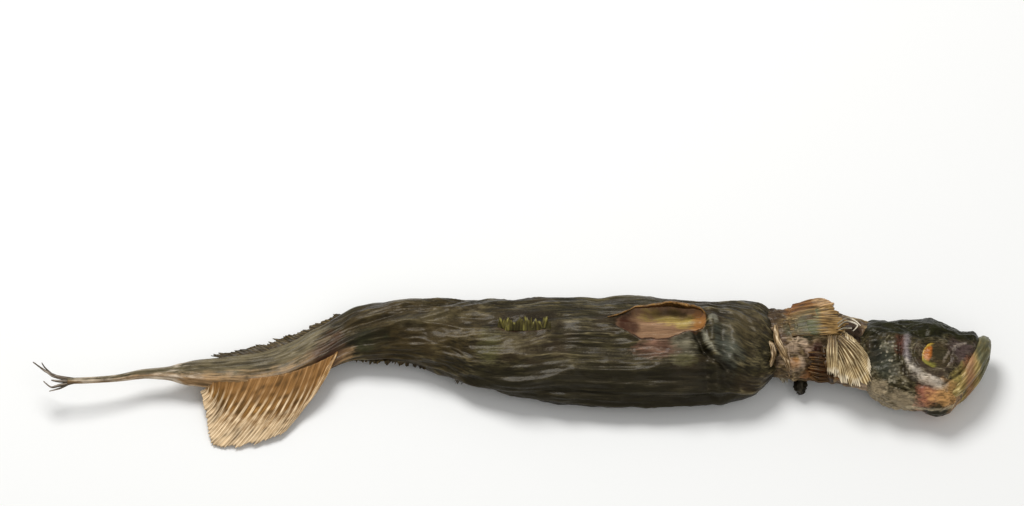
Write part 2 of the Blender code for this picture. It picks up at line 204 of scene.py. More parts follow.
def patched(points, patches, shown=1.0):
    """One mask for each named patch colour: ragged spots of X, Y, their half sizes and their turn."""
    warp = np.stack([lumps(points, 5, seed) + 0.6 * lumps(points, 2.2, seed) for seed in (71, 72)])
    masks = {}
    for mask, place_x, place_y, half_x, half_y, turn in patches:
        x, y = points[..., 0] - place_x, points[..., 1] - place_y
        cosine, sine = math.cos(math.radians(turn)), math.sin(math.radians(turn))
        along = (x * cosine + y * sine) / half_x + PATCH_RAGGED * warp[0]
        across = (y * cosine - x * sine) / half_y + PATCH_RAGGED * warp[1]
        near = 1 - fade(np.hypot(along, across), 0.25, 1.4)
        masks[mask] = np.maximum(masks.get(mask, 0), near * shown)
    return masks


def section(x, angle, stations, relief, floor):
    """Points round the sections at x, pushed out by the relief and kept above the floor."""
    middle_y, middle_z, half_y, half_z = (smooth(x, stations, column) for column in (1, 2, 3, 4))
    across, up = np.cos(np.radians(angle)), np.sin(np.radians(angle))
    out = np.stack([across / half_y, up / half_z])
    out = out / np.linalg.norm(out, axis=0)
    push = relief * np.clip(np.minimum(half_y, half_z) / 8, 0.12, 1)
    y = middle_y + half_y * across + push * out[0]
    z = np.maximum(middle_z + half_z * up + push * out[1], floor)
    return np.stack([x + 0 * angle, y, z], axis=-1)


def closed_in(points, x, stations, start, length):
    """The sections drawn in to a round end, from X start on."""
    end = np.clip((x[:, 0] - start) / length, 0, 0.985)
    closing = np.sqrt(1 - end**2)[:, None, None]
    middle = np.stack([smooth(x, stations, 1), smooth(x, stations, 2)], axis=-1)
    points = points.copy()
    points[..., 1:] = middle + (points[..., 1:] - middle) * closing
    return points


def keep_masks(mesh, masks):
    """Keeps a value for each point of the mesh under each mask's name, for the material to read."""
    for mask, values in masks.items():
        attribute = mesh.attributes.new(mask, "FLOAT", "POINT")
        attribute.data.foreach_set("value", values.astype(np.float32))


def tissue_piece(name, points, faces, masks, place, material):
    """A smooth piece from points in millimetres, with its masks and its place on the tissue."""
    mesh = bpy.data.meshes.new(name)
    mesh.from_pydata(((points + TO_CENTRE) * MM).tolist(), [], faces)
    keep_masks(mesh, masks)
    attribute = mesh.attributes.new("place", "FLOAT_VECTOR", "POINT")
    attribute.data.foreach_set("vector", place.astype(np.float32).ravel())
    mesh.shade_smooth()
    mesh.materials.append(material)
    piece = bpy.data.objects.new(name, mesh)
    bpy.context.scene.collection.objects.link(piece)
    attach(piece, "root")
    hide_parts("stockfish")
    return piece


def lofted(name, rings, masks, place, material):
    """A closed skin over rings of points, with a fan of faces over each end."""
    count, around = rings.shape[:2]
    index = np.arange(count * around).reshape(count, around)
    after = np.roll(index, -1, axis=1)
    faces = np.stack([index[:-1], after[:-1], after[1:], index[1:]], axis=-1).reshape(-1, 4).tolist()
    first, last = count * around, count * around + 1
    faces += [(int(after[0, i]), int(index[0, i]), first) for i in range(around)]
    faces += [(int(index[-1, i]), int(after[-1, i]), last) for i in range(around)]

    def with_ends(values):
        flat = values.reshape(count * around, *values.shape[2:])
        return np.concatenate([flat, values[:1].mean(axis=1), values[-1:].mean(axis=1)])

    masks = {mask: with_ends(values + np.zeros((count, around))) for mask, values in masks.items()}
    return tissue_piece(name, with_ends(rings), faces, masks, with_ends(place), material)


def linear(colour):
    """Linear red, green, blue and alpha of an sRGB hex colour."""
    parts = [int(colour[i:i + 2], 16) / 255 for i in (1, 3, 5)]
    return [part / 12.92 if part <= 0.04045 else ((part + 0.055) / 1.055) ** 2.4 for part in parts] + [1]


def add_node(tree, kind, inputs, output=0, **settings):
    """Adds a shader node and gives its output: inputs are values, or outputs of other nodes to link."""
    made = tree.nodes.new("ShaderNode" + kind)
    for name, value in settings.items():
        setattr(made, name, value)
    for name, value in inputs.items():
        if isinstance(value, bpy.types.NodeSocket):
            tree.links.new(value, made.inputs[name])
        else:
            made.inputs[name].default_value = value
    return made.outputs[output]


# Patterns in dried tissue: length along the fibres and width in millimetres, detail and roughness.
FLECKS, BLOTS, CLOUDS = (1.3, 1.1, 4.0, 0.6), (4.6, 3.2, 4.0, 0.6), (26, 15, 3.0, 0.55)
FIBRE_DETAIL = (5.0, 0.62)
# Left scale pockets are this far apart, a little more than real ones, so that they show.
SCALE_PITCH = 2.4
# Dried protein under a thin film of yellow fish oil, with flecks nearly as high as the fibres.
TISSUE_IOR, OIL_FILM, OIL_ROUGHNESS, OIL_COLOUR = 1.45, 0.12, 0.2, "#d6c199"
GRAIN_STRENGTH, FLECK_HEIGHT = 0.75, 0.8


def dried_tissue(
    name, dark, middle, ridge, tint, gloss, patches=(), streak=(9.0, 0.8), relief=0.35, shine=0.4
):
    """Dried fish tissue: streaked, pale on raised folds (wear and painted highlight), painted shade in
    creases.

    patches are (mask, colour) from the bottom up, and a third word says how one breaks up that
    doesn't streak.
    gloss is the roughness of the oiliest and the driest spots, and shine the specular level.
    streak is the length and width of a fibre, and relief its height, in millimetres.
    """
    material = bpy.data.materials.new(name)
    material.use_nodes = True
    tree = material.node_tree
    place = add_node(tree, "Attribute", {}, "Vector", attribute_name="place")
    crease = add_node(tree, "Attribute", {}, "Fac", attribute_name="crease")
    patterns = []
    for long, wide, detail, rough in ((*streak, *FIBRE_DETAIL), FLECKS, BLOTS, CLOUDS):
        stretch = {0: place, 1: (1 / long, 1 / wide, 1 / wide)}
        spot = add_node(tree, "VectorMath", stretch, operation="MULTIPLY")
        noise = {"Vector": spot, "Scale": 1.0, "Detail": detail, "Roughness": rough}
        patterns.append(add_node(tree, "TexNoise", noise, "Fac"))
    fibres, flecks, blots, clouds = patterns
    cells = add_node(tree, "TexVoronoi", {"Vector": place, "Scale": 1 / SCALE_PITCH}, "Distance")
    # Soft steps: the pattern, where the step starts and ends, and what it gives there.
    steps = {
        "streaked": (fibres, 0.36, 0.66),
        "clouded": (clouds, 0.46, 0.64, 0.0, 0.8),
        "raised": (crease, 0.45, 0.95),
        "rubbed": (fibres, 0.36, 0.62, 0.1, 0.8),
        "pocket": (cells, 0.46, 0.1),
        "broken": (flecks, 0.35, 0.6, 0.3, 1.0),
        # deep and high are painted light: creases painted darker, down to 0.4, and ridges lighter, up to
        # 1.35.
        "deep": (crease, 0.0, 0.45, 0.4, 1.0),
        "high": (crease, 0.45, 1.0, 1.0, 1.35),
        "lined": (fibres, 0.3, 0.7, 0.74, 1.24),
        "dry": (flecks, 0.3, 0.7, *gloss),
    }
    for step, ends in steps.items():
        steps[step] = add_node(tree, "MapRange", dict(enumerate(ends)), interpolation_type="SMOOTHSTEP")
    # Raised folds take the ridge colour: partly rubbed wear, partly a painted highlight.
    wear_and_highlight = add_node(tree, "Math", {0: steps["raised"], 1: steps["rubbed"]}, operation="MULTIPLY")
    pockets = add_node(tree, "Math", {0: steps["pocket"], 1: steps["broken"]}, operation="MULTIPLY")
    shade = add_node(tree, "Math", {0: steps["deep"], 1: steps["high"]}, operation="MULTIPLY")
    shade = add_node(tree, "Math", {0: shade, 1: steps["lined"]}, operation="MULTIPLY")

    # How a patch breaks up: by which pattern, how strongly, how soft its edge is and how it covers.
    grains = {
        "streak": (fibres, 1.8, 0.75, 0.88),
        "sharp": (flecks, 0.9, 0.3, 0.95),
        "soft": (fibres, 0.8, 0.6, 0.94),
        "spots": (pockets, 1.5, 0.5, 0.75),
    }
    layers = [(steps["streaked"], middle), (steps["clouded"], tint), (wear_and_highlight, ridge)]
    for mask, patch, *grain in patches:
        pattern, strength, softness, cover = grains[grain[0] if grain else "streak"]
        amount = add_node(tree, "Attribute", {}, "Fac", attribute_name=mask)
        shown = amount
        for uneven in (pattern, blots):
            shown = add_node(tree, "Math", {0: uneven, 1: strength, 2: shown}, operation="MULTIPLY_ADD")
        half = strength + 0.5
        edge = {0: shown, 1: half - softness, 2: half + softness, 4: cover}
        shown = add_node(tree, "MapRange", edge, interpolation_type="SMOOTHSTEP")
        limit = {0: amount, 1: 0.02, 2: 0.2}
        inside = add_node(tree, "MapRange", limit, interpolation_type="SMOOTHSTEP")
        share = add_node(tree, "Math", {0: shown, 1: inside}, operation="MULTIPLY")
        layers.append((share, patch))
    colour = linear(dark)
    for share, layer in layers:
        colour = add_node(tree, "Mix", {0: share, 6: colour, 7: linear(layer)}, 2, data_type="RGBA")
    grey = add_node(tree, "CombineColor", dict.fromkeys((0, 1, 2), shade))
    shaded = {0: 1.0, 6: colour, 7: grey}
    colour = add_node(tree, "Mix", shaded, 2, data_type="RGBA", blend_type="MULTIPLY")

    height = add_node(tree, "Math", {0: flecks, 1: FLECK_HEIGHT, 2: fibres}, operation="MULTIPLY_ADD")
    bumps = {"Strength": GRAIN_STRENGTH, "Distance": relief * MM, "Height": height}
    normal = add_node(tree, "Bump", bumps)
    shader = tree.nodes["Principled BSDF"]
    for socket, output in {"Base Color": colour, "Roughness": steps["dry"], "Normal": normal}.items():
        tree.links.new(output, shader.inputs[socket])
    values = {
        "IOR": TISSUE_IOR,
        "Specular IOR Level": shine,
        "Specular Tint": linear(OIL_COLOUR),
        "Coat Weight": OIL_FILM,
        "Coat Roughness": OIL_ROUGHNESS,
    }
    for socket, value in values.items():
        shader.inputs[socket].default_value = value
    return material


def half_slit(x, lower):
    """How far the edge of the slit is from the belly line, with lower 1 at the lower edge and 0 above."""
    rise = 1 - LOWER_EDGE_RISE * fade(x, RISE_FROM, RISE_TO) * lower
    line = np.stack(np.broadcast_arrays(x, 10.0 * lower, 0.0 * x), axis=-1)
    ragged = 1 + lumpy(line, SLIT_TEARS)
    return SLIT_HALF_WIDTH * smooth(x, SLIT_GAPE) * rise * ragged + SLIT_SEAM


def slit_at(x, from_belly):
    """The slit's gape, how far its edge is from the belly line, and how far each point is."""
    aside = np.radians(from_belly) * smooth(x, TRUNK, 3)
    return smooth(x, SLIT_GAPE), half_slit(x, from_belly > 0), aside


def trunk_relief(x, from_belly, angle):
    """The slit with its flesh and lips, the long folds, and the folds over the shoulders."""
    gape, half_gap, aside = slit_at(x, from_belly)
    inside = np.clip(1.25 - (aside / half_gap) ** 2, 0, 1)
    tongue = TONGUE_SHARE * bump(aside + TONGUE_ASIDE * half_gap, TONGUE_WIDTH * half_gap)
    relief = -SLIT_DEPTH * gape * inside * (1 - tongue)
    relief += LIP_HEIGHT * np.sqrt(gape) * bump(np.abs(aside) - half_gap - LIP_OUTSIDE, LIP_WIDTH)
    for place, height, width in TRUNK_FOLDS:
        wander = FOLD_WANDER * np.sin(x / FOLD_LENGTH + place)
        relief += height * bump(turned(from_belly, place + wander), width)
    return relief + shoulder_folds(x, angle)


def shoulder_folds(x, angle):
    """The folds that run round the body where the belly wall was bent over."""
    from_side = turned(angle, SHOULDER_FACING)
    relief = 0 * from_side
    for place, height in SHOULDER_FOLDS:
        across = bump(x - place - 0.04 * from_side, SHOULDER_FOLD_WIDTH)
        relief += height * across * bump(from_side, SHOULDER_SPAN)
    return relief


# Coloured patches of the trunk's upper side: mask, X, Y, half sizes and turn.
TRUNK_PATCHES = (
    ("yellow", 84.0, 24.5, 17.0, 4.6, -14),
    ("orange", 98.5, 21.0, 4.6, 9.0, 0),
    ("pink", 75.5, 4.2, 11.0, 5.6, -6),
    ("olive", 88.5, 4.6, 7.6, 9.6, -12),
    ("moss", 89.0, -2.5, 7.5, 3.6, -8),
    # The slit's far end is dark red-brown, darkened further as painted shade of its depth.
    ("maroon", 58.0, 22.0, 8.0, 12.0, 0),
    ("slate", 112.5, 6.0, 8.0, 13.0, 10),
    # A pale painted highlight on the shoulder, above the slit's end.
    ("painted_highlight", 105.3, 21.5, 2.3, 3.2, 20),
    ("lobe", 121.0, 17.0, 11.0, 14.0, 0),
    ("brown", -50.0, 20.0, 40.0, 24.0, 0),
    ("purple", -97.0, 8.0, 8.0, 12.0, -35),
    ("amber", -91.0, 4.5, 9.0, 6.0, 25),
    ("green", -77.0, 14.0, 11.0, 4.5, 8),
    ("moss", -12.0, 7.0, 6.0, 9.0, 0),
    ("tan", 2.0, 8.0, 11.0, 8.0, 0),
    ("tan", -44.0, 24.0, 22.0, 4.0, 6),
    # Dark skin round the comb, darkened further with painted shade.
    ("dark_skin_and_shade", 6.5, 22.0, 22.0, 10.0, 0),
    ("purple", 6.5, 16.0, 13.0, 1.5, 0),
)
# Soft swellings of the skin below the slit: X, Y, half sizes, turn and height.
SWELLINGS = (
    (89.5, 5.0, 6.5, 8.0, -20, 1.6),
    (113.0, 3.0, 8.0, 13.0, 0, 0.9),
    (74.0, 3.0, 10.0, 3.0, -10, 0.9),
)


def trunk_masks(points, x, from_belly, folds):
    """Where the trunk's skin is pale, amber or dark, where flesh shows, and where shade and highlights
    are painted.
    """
    masks = patched(points, TRUNK_PATCHES, fade(points[..., 2], 9, 13))
    gape, half_gap, aside = slit_at(x, from_belly)
    in_slit = fade(gape, 0.12, 0.4) * (1 - fade(np.abs(aside) / half_gap, 1.0, 1.22))
    tail = 1 - fade(x, -108, -92)
    from_back = np.abs(turned(from_belly, 180))
    masks["pale"] = tail * (1 - fade(from_back, 90, 135))
    masks["amber"] = np.maximum(masks["amber"], tail * fade(from_back, 70, 130))
    masks["flesh"] = in_slit
    masks["yellow"] = masks["yellow"] * in_slit
    round_slit = fade(gape, 0.12, 0.4) * (1 - fade(np.abs(aside) / half_gap, 1.25, 1.5))
    masks["orange"] = masks["orange"] * round_slit
    # Darker towards the lower side (-Y): painted shade of the flank that faces away from the light.
    masks["black"] = fade(x, -60, -10) * fade(-points[..., 1], 2, 12) * (1 - fade(x, 108, 122))
    # The stalk's raised folds are pale: weathered, with a painted highlight on their tops.
    masks["bleach_and_highlight"] = (1 - fade(x, -174, -158)) * fade(folds, 0.3, 0.75)
    # A dark maroon line along the flesh's lower edge, partly painted shade under it.
    shade_below_flesh = bump(aside - 1.1 * half_gap, 1.1) * fade(gape, 0.3, 0.7)
    masks["maroon"] = np.maximum(masks["maroon"] * in_slit, shade_below_flesh)
    under_lip = bump(aside + 0.9 * half_gap, 1.5) * bump(x - 84, 14) * fade(gape, 0.5, 0.9)
    masks["shadow"] = under_lip * fade(lumps(points, 3, 83), -0.9, 0.2)
    pink_folds = 1.3 * masks["pink"] * wrinkles(points, 15, 1.9, 15) ** 2
    masks["maroon"] = np.maximum(masks["maroon"], pink_folds)
    # A painted highlight along the fold beside the crease, and the shoulder's highlight broken into
    # streaks.
    on_fold = bump(from_line(points, FOLD_LINE), 1.2) * fade(points[..., 1], -3, 6)
    lines = fade(lumps(points * (1, 0.25, 0.25), 1.5, 81), -0.5, 0.3)
    masks["painted_highlight"] = np.maximum(masks["painted_highlight"] * lines, 0.7 * on_fold)
    masks["crease"] = np.clip(folds, 0, 1)
    return masks


def skin_place(x, angle, radius):
    """Where a point sits on the skin in millimetres: along the body, and round it without a seam."""
    turn = np.radians(angle)
    return np.stack([x + 0 * turn, radius * np.cos(turn), radius * np.sin(turn)], axis=-1)


def make_trunk(material, rings=560, around=174):
    spread = np.array(RING_SPREAD)
    x = np.interp(np.linspace(0, 1, rings), spread[:, 0], spread[:, 1])[:, None]
    share = np.linspace(-1, 1, around, endpoint=False)[None, :]
    from_belly = 180 * (0.85 * share + 0.15 * share**3)
    angle = smooth(x, BELLY_LINE) + from_belly
    relief = trunk_relief(x, from_belly, angle)
    points = section(x, angle, TRUNK, relief, 0)

    girth = 0.78 * smooth(x, TRUNK, 3)
    place = skin_place(x, angle - smooth(x, GRAIN_LINE), girth)
    gape, half_gap, aside = slit_at(x, from_belly)
    in_slit = fade(gape, 0.2, 0.5) * (1 - fade(np.abs(aside) / half_gap, 0.8, 1.1))
    roughness = 1 - SLIT_SMOOTHER * in_slit
    all_folds, wrinkled = shrunk(place, TRUNK_WRINKLES)
    relief += lumpy(points, TRUNK_LUMPS) + wrinkled * roughness
    folds = 0.25 + 0.32 * (sum(all_folds) - 0.25 * len(all_folds)) * roughness
    upper = fade(points[..., 2], 8, 12)
    crease = upper * bump(from_line(points, CREASE_LINE), CREASE_WIDTH) * (1 - fade(x, 108, 120))
    fold = upper * bump(from_line(points, FOLD_LINE), FOLD_WIDTH)
    relief += FOLD_HEIGHT * fold - CREASE_DEPTH * crease
    # Painted shade and highlights: the deep crease painted darker, the fold beside it and the slit
    # lighter, shoulder folds lighter where raised and darker where sunk.
    folds += 0.3 * in_slit + 0.3 * fold - 0.7 * crease + 0.16 * shoulder_folds(x, angle)
    for *swelling, height in SWELLINGS:
        near = patched(points, (("swelling", *swelling),))["swelling"]
        relief += height * near * (1 - in_slit)
    masks = trunk_masks(points, x, from_belly, folds)
    points = section(x, angle, TRUNK, relief, 0)
    points = closed_in(points, x, TRUNK, TRUNK[-1][0] - SHOULDER_ROUND, SHOULDER_ROUND)
    return lofted("trunk", points, masks, place, material)


# Air-dried fish skin: shrunk by the wind, almost black olive, with an oily gloss on the rubbed folds.
wind_dried_skin = dried_tissue(
    "wind_dried_skin",
    dark="#110f07",
    middle="#302b17",
    ridge="#655b40",
    tint="#281e12",
    # Some colours stand for light: the near-black of the lower flank, round the comb and in the slit is
    # partly painted shade, and the pale greys of the shoulder and stalk are partly painted highlights.
    patches=(
        ("brown", "#362b15"),
        ("black", "#15140b"),
        ("tan", "#4f462f"),
        ("green", "#272b19"),
        ("dark_skin_and_shade", "#120b06", "soft"),
        ("pale", "#6d634a"),
        ("amber", "#9a7a55"),
        ("purple", "#40251c"),
        ("slate", "#444840"),
        ("lobe", "#433a25"),
        ("bleach_and_highlight", "#b3a592"),
        ("olive", "#7b7560"),
        ("moss", "#454226"),
        ("pink", "#84614f"),
        ("painted_highlight", "#827f6e"),
        ("flesh", "#88694f", "sharp"),
        ("yellow", "#a08c4a"),
        ("orange", "#a06c36"),
        ("maroon", "#351912", "soft"),
        ("shadow", "#2b1c0b", "soft"),
    ),
    gloss=(0.3, 0.55),
)
make_trunk(wind_dried_skin)


# Belly lip: the upper cut edge of the belly wall, which dried to a thin amber rim and curled up.
# It is a ragged ribbon that rises out of the skin along the slit, and arches over its middle.

LIP_FROM, LIP_TO = 50.0, 102.5
RIM_THICKNESS, RIM_CURL = 1.0, 2.0
ARCH_MIDDLE, ARCH_LENGTH, ARCH_RISE = 87.0, 12.0, 2.4
# How far the lip reaches over the slit, how far outside its edge it starts, and how deep in the skin.
LIP_REACH, LIP_FOOT, LIP_SINK = 3.4, 2.0, 0.7


def on_trunk(x, aside, out):
    """A point on the trunk, aside from the belly line in millimetres and out from the skin."""
    from_belly = np.degrees(aside / smooth(x, TRUNK, 3))
    return section(x, smooth(x, BELLY_LINE) + from_belly, TRUNK, out, 0)


def thin_piece(name, middle, thickness, masks, place, material):
    """A thin closed piece on a grid of points, with two faces and a rim."""
    along = np.gradient(middle, axis=0)
    across = np.gradient(middle, axis=1)
    normal = np.cross(along, across)
    normal /= np.linalg.norm(normal, axis=-1, keepdims=True) + 1e-9
    rows, columns = middle.shape[:2]
    half = 0.5 * thickness[..., None] * normal
    points = np.concatenate([(middle + half).reshape(-1, 3), (middle - half).reshape(-1, 3)])
    index = np.arange(rows * columns).reshape(rows, columns)
    quads = np.stack([index[:-1, :-1], index[1:, :-1], index[1:, 1:], index[:-1, 1:]], axis=-1)
    quads = quads.reshape(-1, 4)
    count = rows * columns
    faces = quads.tolist() + (quads[:, ::-1] + count).tolist()
    border = np.concatenate([index[:, 0], index[-1, 1:], index[-2::-1, -1], index[0, -2:0:-1]])
    after = np.roll(border, -1)
    faces += np.stack([border, border + count, after + count, after], axis=-1).tolist()
    for mask, values in masks.items():
        masks[mask] = np.tile(np.broadcast_to(values, index.shape).ravel(), 2)
    return tissue_piece(name, points, faces, masks, np.tile(place.reshape(-1, 3), (2, 1)), material)


def make_lip(material):
    x = np.linspace(LIP_FROM, LIP_TO, 240)[:, None]
    across = np.linspace(0, 1, 14)[None, :]
    half_gap = half_slit(x, 0)
    line = np.concatenate([x, 0 * x, 0 * x], axis=1)
    reach = (1 + 0.3 * lumps(line, 7, 2) + 0.15 * lumps(line, 1.7, 4))[:, None]
    arch = bump(x - ARCH_MIDDLE, ARCH_LENGTH)
    reach = reach * (0.7 + 0.8 * arch)
    closing = smooth(x, SLIT_GAPE) ** 0.7
    aside = LIP_REACH * across * reach * closing - half_gap - LIP_FOOT
    out = (LIP_HEIGHT + RIM_CURL * reach + ARCH_RISE * arch) * closing * np.sin(across * 1.9)
    middle = on_trunk(x + 0 * across, aside, out - LIP_SINK)
    place = np.stack([x + 0 * aside, aside, 0 * aside], axis=-1)
    crease = np.clip(0.35 + 0.4 * lumps(middle, 1.4, 7) + 0.2 * across, 0, 1)
    thickness = RIM_THICKNESS * (1 - 0.4 * across) + 0 * x
    # Paler towards the curled edge: a painted highlight along the rim's top.
    masks = {"crease": crease, "pale": across**2}
    return thin_piece("belly_lip", middle, thickness, masks, place, material)


# Dried belly fat: it soaks into the cut edge and dries to a waxy, see-through amber.
amber_edge = dried_tissue(
    "amber_belly_edge",
    dark="#27170b",
    middle="#523619",
    ridge="#856336",
    tint="#4a2e20",
    patches=(("pale", "#84602f"),),
    gloss=(0.28, 0.5),
    streak=(6.0, 0.7),
)
make_lip(amber_edge)


# Torn neck: spine, throat and gill chamber, where the cover of skin was ripped away to clean the fish.
# What is left is crumpled flesh with hollows and a net of pale threads, dried in orange, cream and
# dark brown patches, with painted shade in the hollows.

NECK = (
    (126, 14.0, 14.0, 18.0, 9.0),
    (138, 15.0, 14.2, 19.5, 10.0),
    (160, 13.5, 14.2, 21.0, 10.4),
    (176, 9.2, 14.6, 20.0, 10.4),
    (196, 4.0, 14.8, 19.0, 10.0),
)
# Hollows and lumps on the neck's upper side: X, Y, radius and depth.
NECK_HOLLOWS = (
    (160, -4, 6.0, 4.5),
    (160, 5, 4.5, 2.5),
    (181, 8, 5.5, 5.0),
    (147.5, 5.5, 3.6, -1.2),
    (147, -2.2, 3.6, -1.6),
    (152, -2.6, 2.4, -1.4),
    (138.5, 3, 1.6, 2.6),
    (143.5, 0, 1.4, 1.4),
)
# The neck is torn open above the first height, and pressed flat underneath at the second.
NECK_FACE_Z, NECK_FLOOR = 12.0, 1.0
NECK_LUMPS = ((1.4, 8, 3),)
# Wrinkles of the flesh, coarse and fine: length, width, height and seed.
NECK_WRINKLES = ((5.0, 4.0, 1.0, 21), (2.6, 1.5, 0.35, 22))
# A net of pale threads: where it is, how far it reaches, a mesh's length and width, and its seed.
NET_PLACE, NET_RADIUS, NET_HEIGHT, NET_MESH = (148, 6), 9, 0.9, (2.6, 2.2, 24)
# Coloured patches of the flesh: mask, X, Y, half sizes and turn.
NECK_PATCHES = (
    # The first five patches are painted shade in the hollows and between the bones, over dark flesh.
    ("hollow_shade_and_dark_flesh", 160.0, 3.6, 6.0, 6.0, 0),
    ("hollow_shade_and_dark_flesh", 160.5, -4.5, 7.5, 5.5, 0),
    ("hollow_shade_and_dark_flesh", 138.6, 4.0, 1.8, 9.0, 0),
    ("hollow_shade_and_dark_flesh", 135.5, 29.0, 9.0, 9.5, 0),
    ("hollow_shade_and_dark_flesh", 176.5, 16.0, 7.0, 9.0, 0),
    ("rust", 159.0, -5.5, 7.0, 4.5, 0),
    ("orange", 147.2, -0.8, 3.6, 2.2, 0),
    ("orange", 153.5, -7.0, 3.6, 2.6, 0),
    ("cream", 151.8, -1.4, 1.8, 2.6, 0),
    ("cream", 147.0, 5.6, 4.4, 2.6, 20),
    ("cream", 152.5, 9.0, 2.6, 2.0, 0),
    ("purple", 158.5, 5.0, 4.6, 4.6, 0),
    ("rust", 184.5, 8.5, 3.6, 6.5, 0),
    ("cream", 184.0, -13.0, 6.0, 4.5, 0),
    ("orange", 174.0, -9.0, 8.0, 4.0, -20),
    ("teal", 152.0, 16.0, 9.0, 6.0, 0),
    ("orange", 152.0, 30.0, 10.0, 4.6, 0),
)


def evenly(stations, rings, around):
    """Sections evenly spread over the stations: X and angle."""
    x = np.linspace(stations[0][0], stations[-1][0], rings)[:, None]
    angle = (np.arange(around) * 360 / around)[None, :]
    return x, angle


def hollowed(points, hollows):
    """The relief of hollows, or of lumps where their depth is below 0: X, Y, radius and depth."""
    relief = np.zeros(points.shape[:-1])
    for x, y, radius, depth in hollows:
        relief -= depth * bump(np.hypot(points[..., 0] - x, points[..., 1] - y), radius)
    return relief


def make_neck(material, rings=190, around=220):
    x, angle = evenly(NECK, rings, around)
    points = section(x, angle, NECK, np.zeros((rings, around)), NECK_FLOOR)
    y, z = points[..., 1], points[..., 2]
    upper = z > NECK_FACE_Z
    (coarse, fine), relief = shrunk(points, NECK_WRINKLES)
    from_net = np.hypot(x - NET_PLACE[0], y - NET_PLACE[1])
    net = wrinkles(points, *NET_MESH) * bump(from_net, NET_RADIUS)
    relief += (hollowed(points, NECK_HOLLOWS) + NET_HEIGHT * net) * upper + lumpy(points, NECK_LUMPS)
    masks = patched(points, NECK_PATCHES, fade(z, 10, 14))
    masks["orange"] = masks["orange"] * fade(z + 0.5 * y, 10, 16)
    masks["skin"] = fade(-z, -13.0, -9.0)
    masks["cream"] = np.maximum(0.8 * masks["cream"], net)
    masks["crease"] = np.clip(0.2 + 0.4 * coarse + 0.25 * fine, 0, 1)
    return lofted("neck", section(x, angle, NECK, relief, NECK_FLOOR), masks, points, material)


# Dried flesh: wind-dried muscle and gristle, brittle and matt, with a little oil in the hollows.
dried_flesh = dried_tissue(
    "dried_flesh",
    dark="#3b2c1a",
    middle="#6a573a",
    ridge="#a38d66",
    tint="#5d463c",
    patches=(
        ("teal", "#4a4f3a"),
        # Painted shade for the hollows, over dark flesh.
        ("hollow_shade_and_dark_flesh", "#20120a"),
        ("purple", "#432621"),
        ("rust", "#5a3112"),
        ("orange", "#96683c"),
        ("cream", "#a8917a"),
        ("skin", "#2b2617"),
    ),
    gloss=(0.38, 0.66),
    streak=(4.0, 1.0),
)
make_neck(dried_flesh)


# Shoulder bones and gill arch: thin curved bones left standing where the neck was torn open.
# They are bare bone with scraps of dried membrane, cream with brown edges.

BONES = {
    "shoulder_bone": (
        ((132.5, 11.0, 22.8), (135.6, 7.4, 24.8), (136.6, 1.6, 24.4), (134.0, -3.6, 19.0)),
        (0.7, 1.3, 1.4, 0.7),
    ),
    "collar_bone": (
        (
            (137.7, 20.0, 23.0), (138.4, 11.0, 25.4), (141.2, 3.3, 25.0),
            (143.6, -1.8, 22.4), (145.0, -5.5, 15.0),
        ),
        (0.9, 1.7, 1.9, 1.6, 0.8),
    ),
}
# Bones are this much flatter than wide. Their rings start at the side that points most this way.
BONE_FLAT, FIRST_SIDE = 0.72, (0.43, 0.52, 0.74)
# The crumpled skin of a bone: length and width of a wrinkle, and its seed.
BONE_WRINKLE = (7.0, 1.1, 31)


def make_bone(name, path, radii, material, sides=22, steps=90, rough=0.22, masks=None):
    """A crumpled round bone along a smooth path, with the radii spread along it.

    masks gives each mask the two shares of the bone's length between which it comes in.
    """
    t = np.linspace(0, 1, steps)
    middle = along_path(path, t)
    radius = np.interp(t, np.linspace(0, 1, len(radii)), radii)
    heading = np.gradient(middle, axis=0)
    heading /= np.linalg.norm(heading, axis=1, keepdims=True)
    side = np.array(FIRST_SIDE)
    frames = []
    for ahead in heading:
        side = side - ahead * (side @ ahead)
        side /= np.linalg.norm(side)
        frames.append((side, np.cross(side, ahead)))
    frames = np.array(frames)
    turn = np.radians(np.arange(sides) * 360 / sides)[None, :, None]
    spokes = np.cos(turn) * frames[:, None, 0] + np.sin(turn) * frames[:, None, 1]
    length = t * np.linalg.norm(np.diff(middle, axis=0), axis=1).sum()
    place = skin_place(length[:, None], np.degrees(turn[..., 0]), radius[:, None])
    rings = middle[:, None] + radius[:, None, None] * spokes * (1, 1, BONE_FLAT)
    crumple = wrinkles(place, *BONE_WRINKLE)
    rings = rings + (radius[:, None] * rough * (crumple - 0.5))[..., None] * spokes
    shown = {"crease": 0.25 + 0.6 * crumple}
    for mask, (start, end) in (masks or {}).items():
        shown[mask] = fade(t, start, end)[:, None] + 0 * crumple
    return lofted(name, rings, shown, place, material)


# Fish bone: dried with its membrane on, cream and slightly greasy, brown where the membrane is thick.
greasy_bone = dried_tissue(
    "greasy_fish_bone",
    dark="#533a1c",
    middle="#a58a64",
    ridge="#dcc8a8",
    tint="#7c5b34",
    gloss=(0.32, 0.55),
    streak=(5.0, 0.7),
)
for bone, (path, radii) in BONES.items():
    make_bone(bone, path, radii, greasy_bone, rough=0.12)

# Dried gill: soft threads full of blood, which dried brown and brittle with a dull shine.
dried_gill = dried_tissue(
    "dried_gill",
    dark="#1c1007",
    middle="#482c12",
    ridge="#7a5a34",
    tint="#33200f",
    gloss=(0.3, 0.5),
)
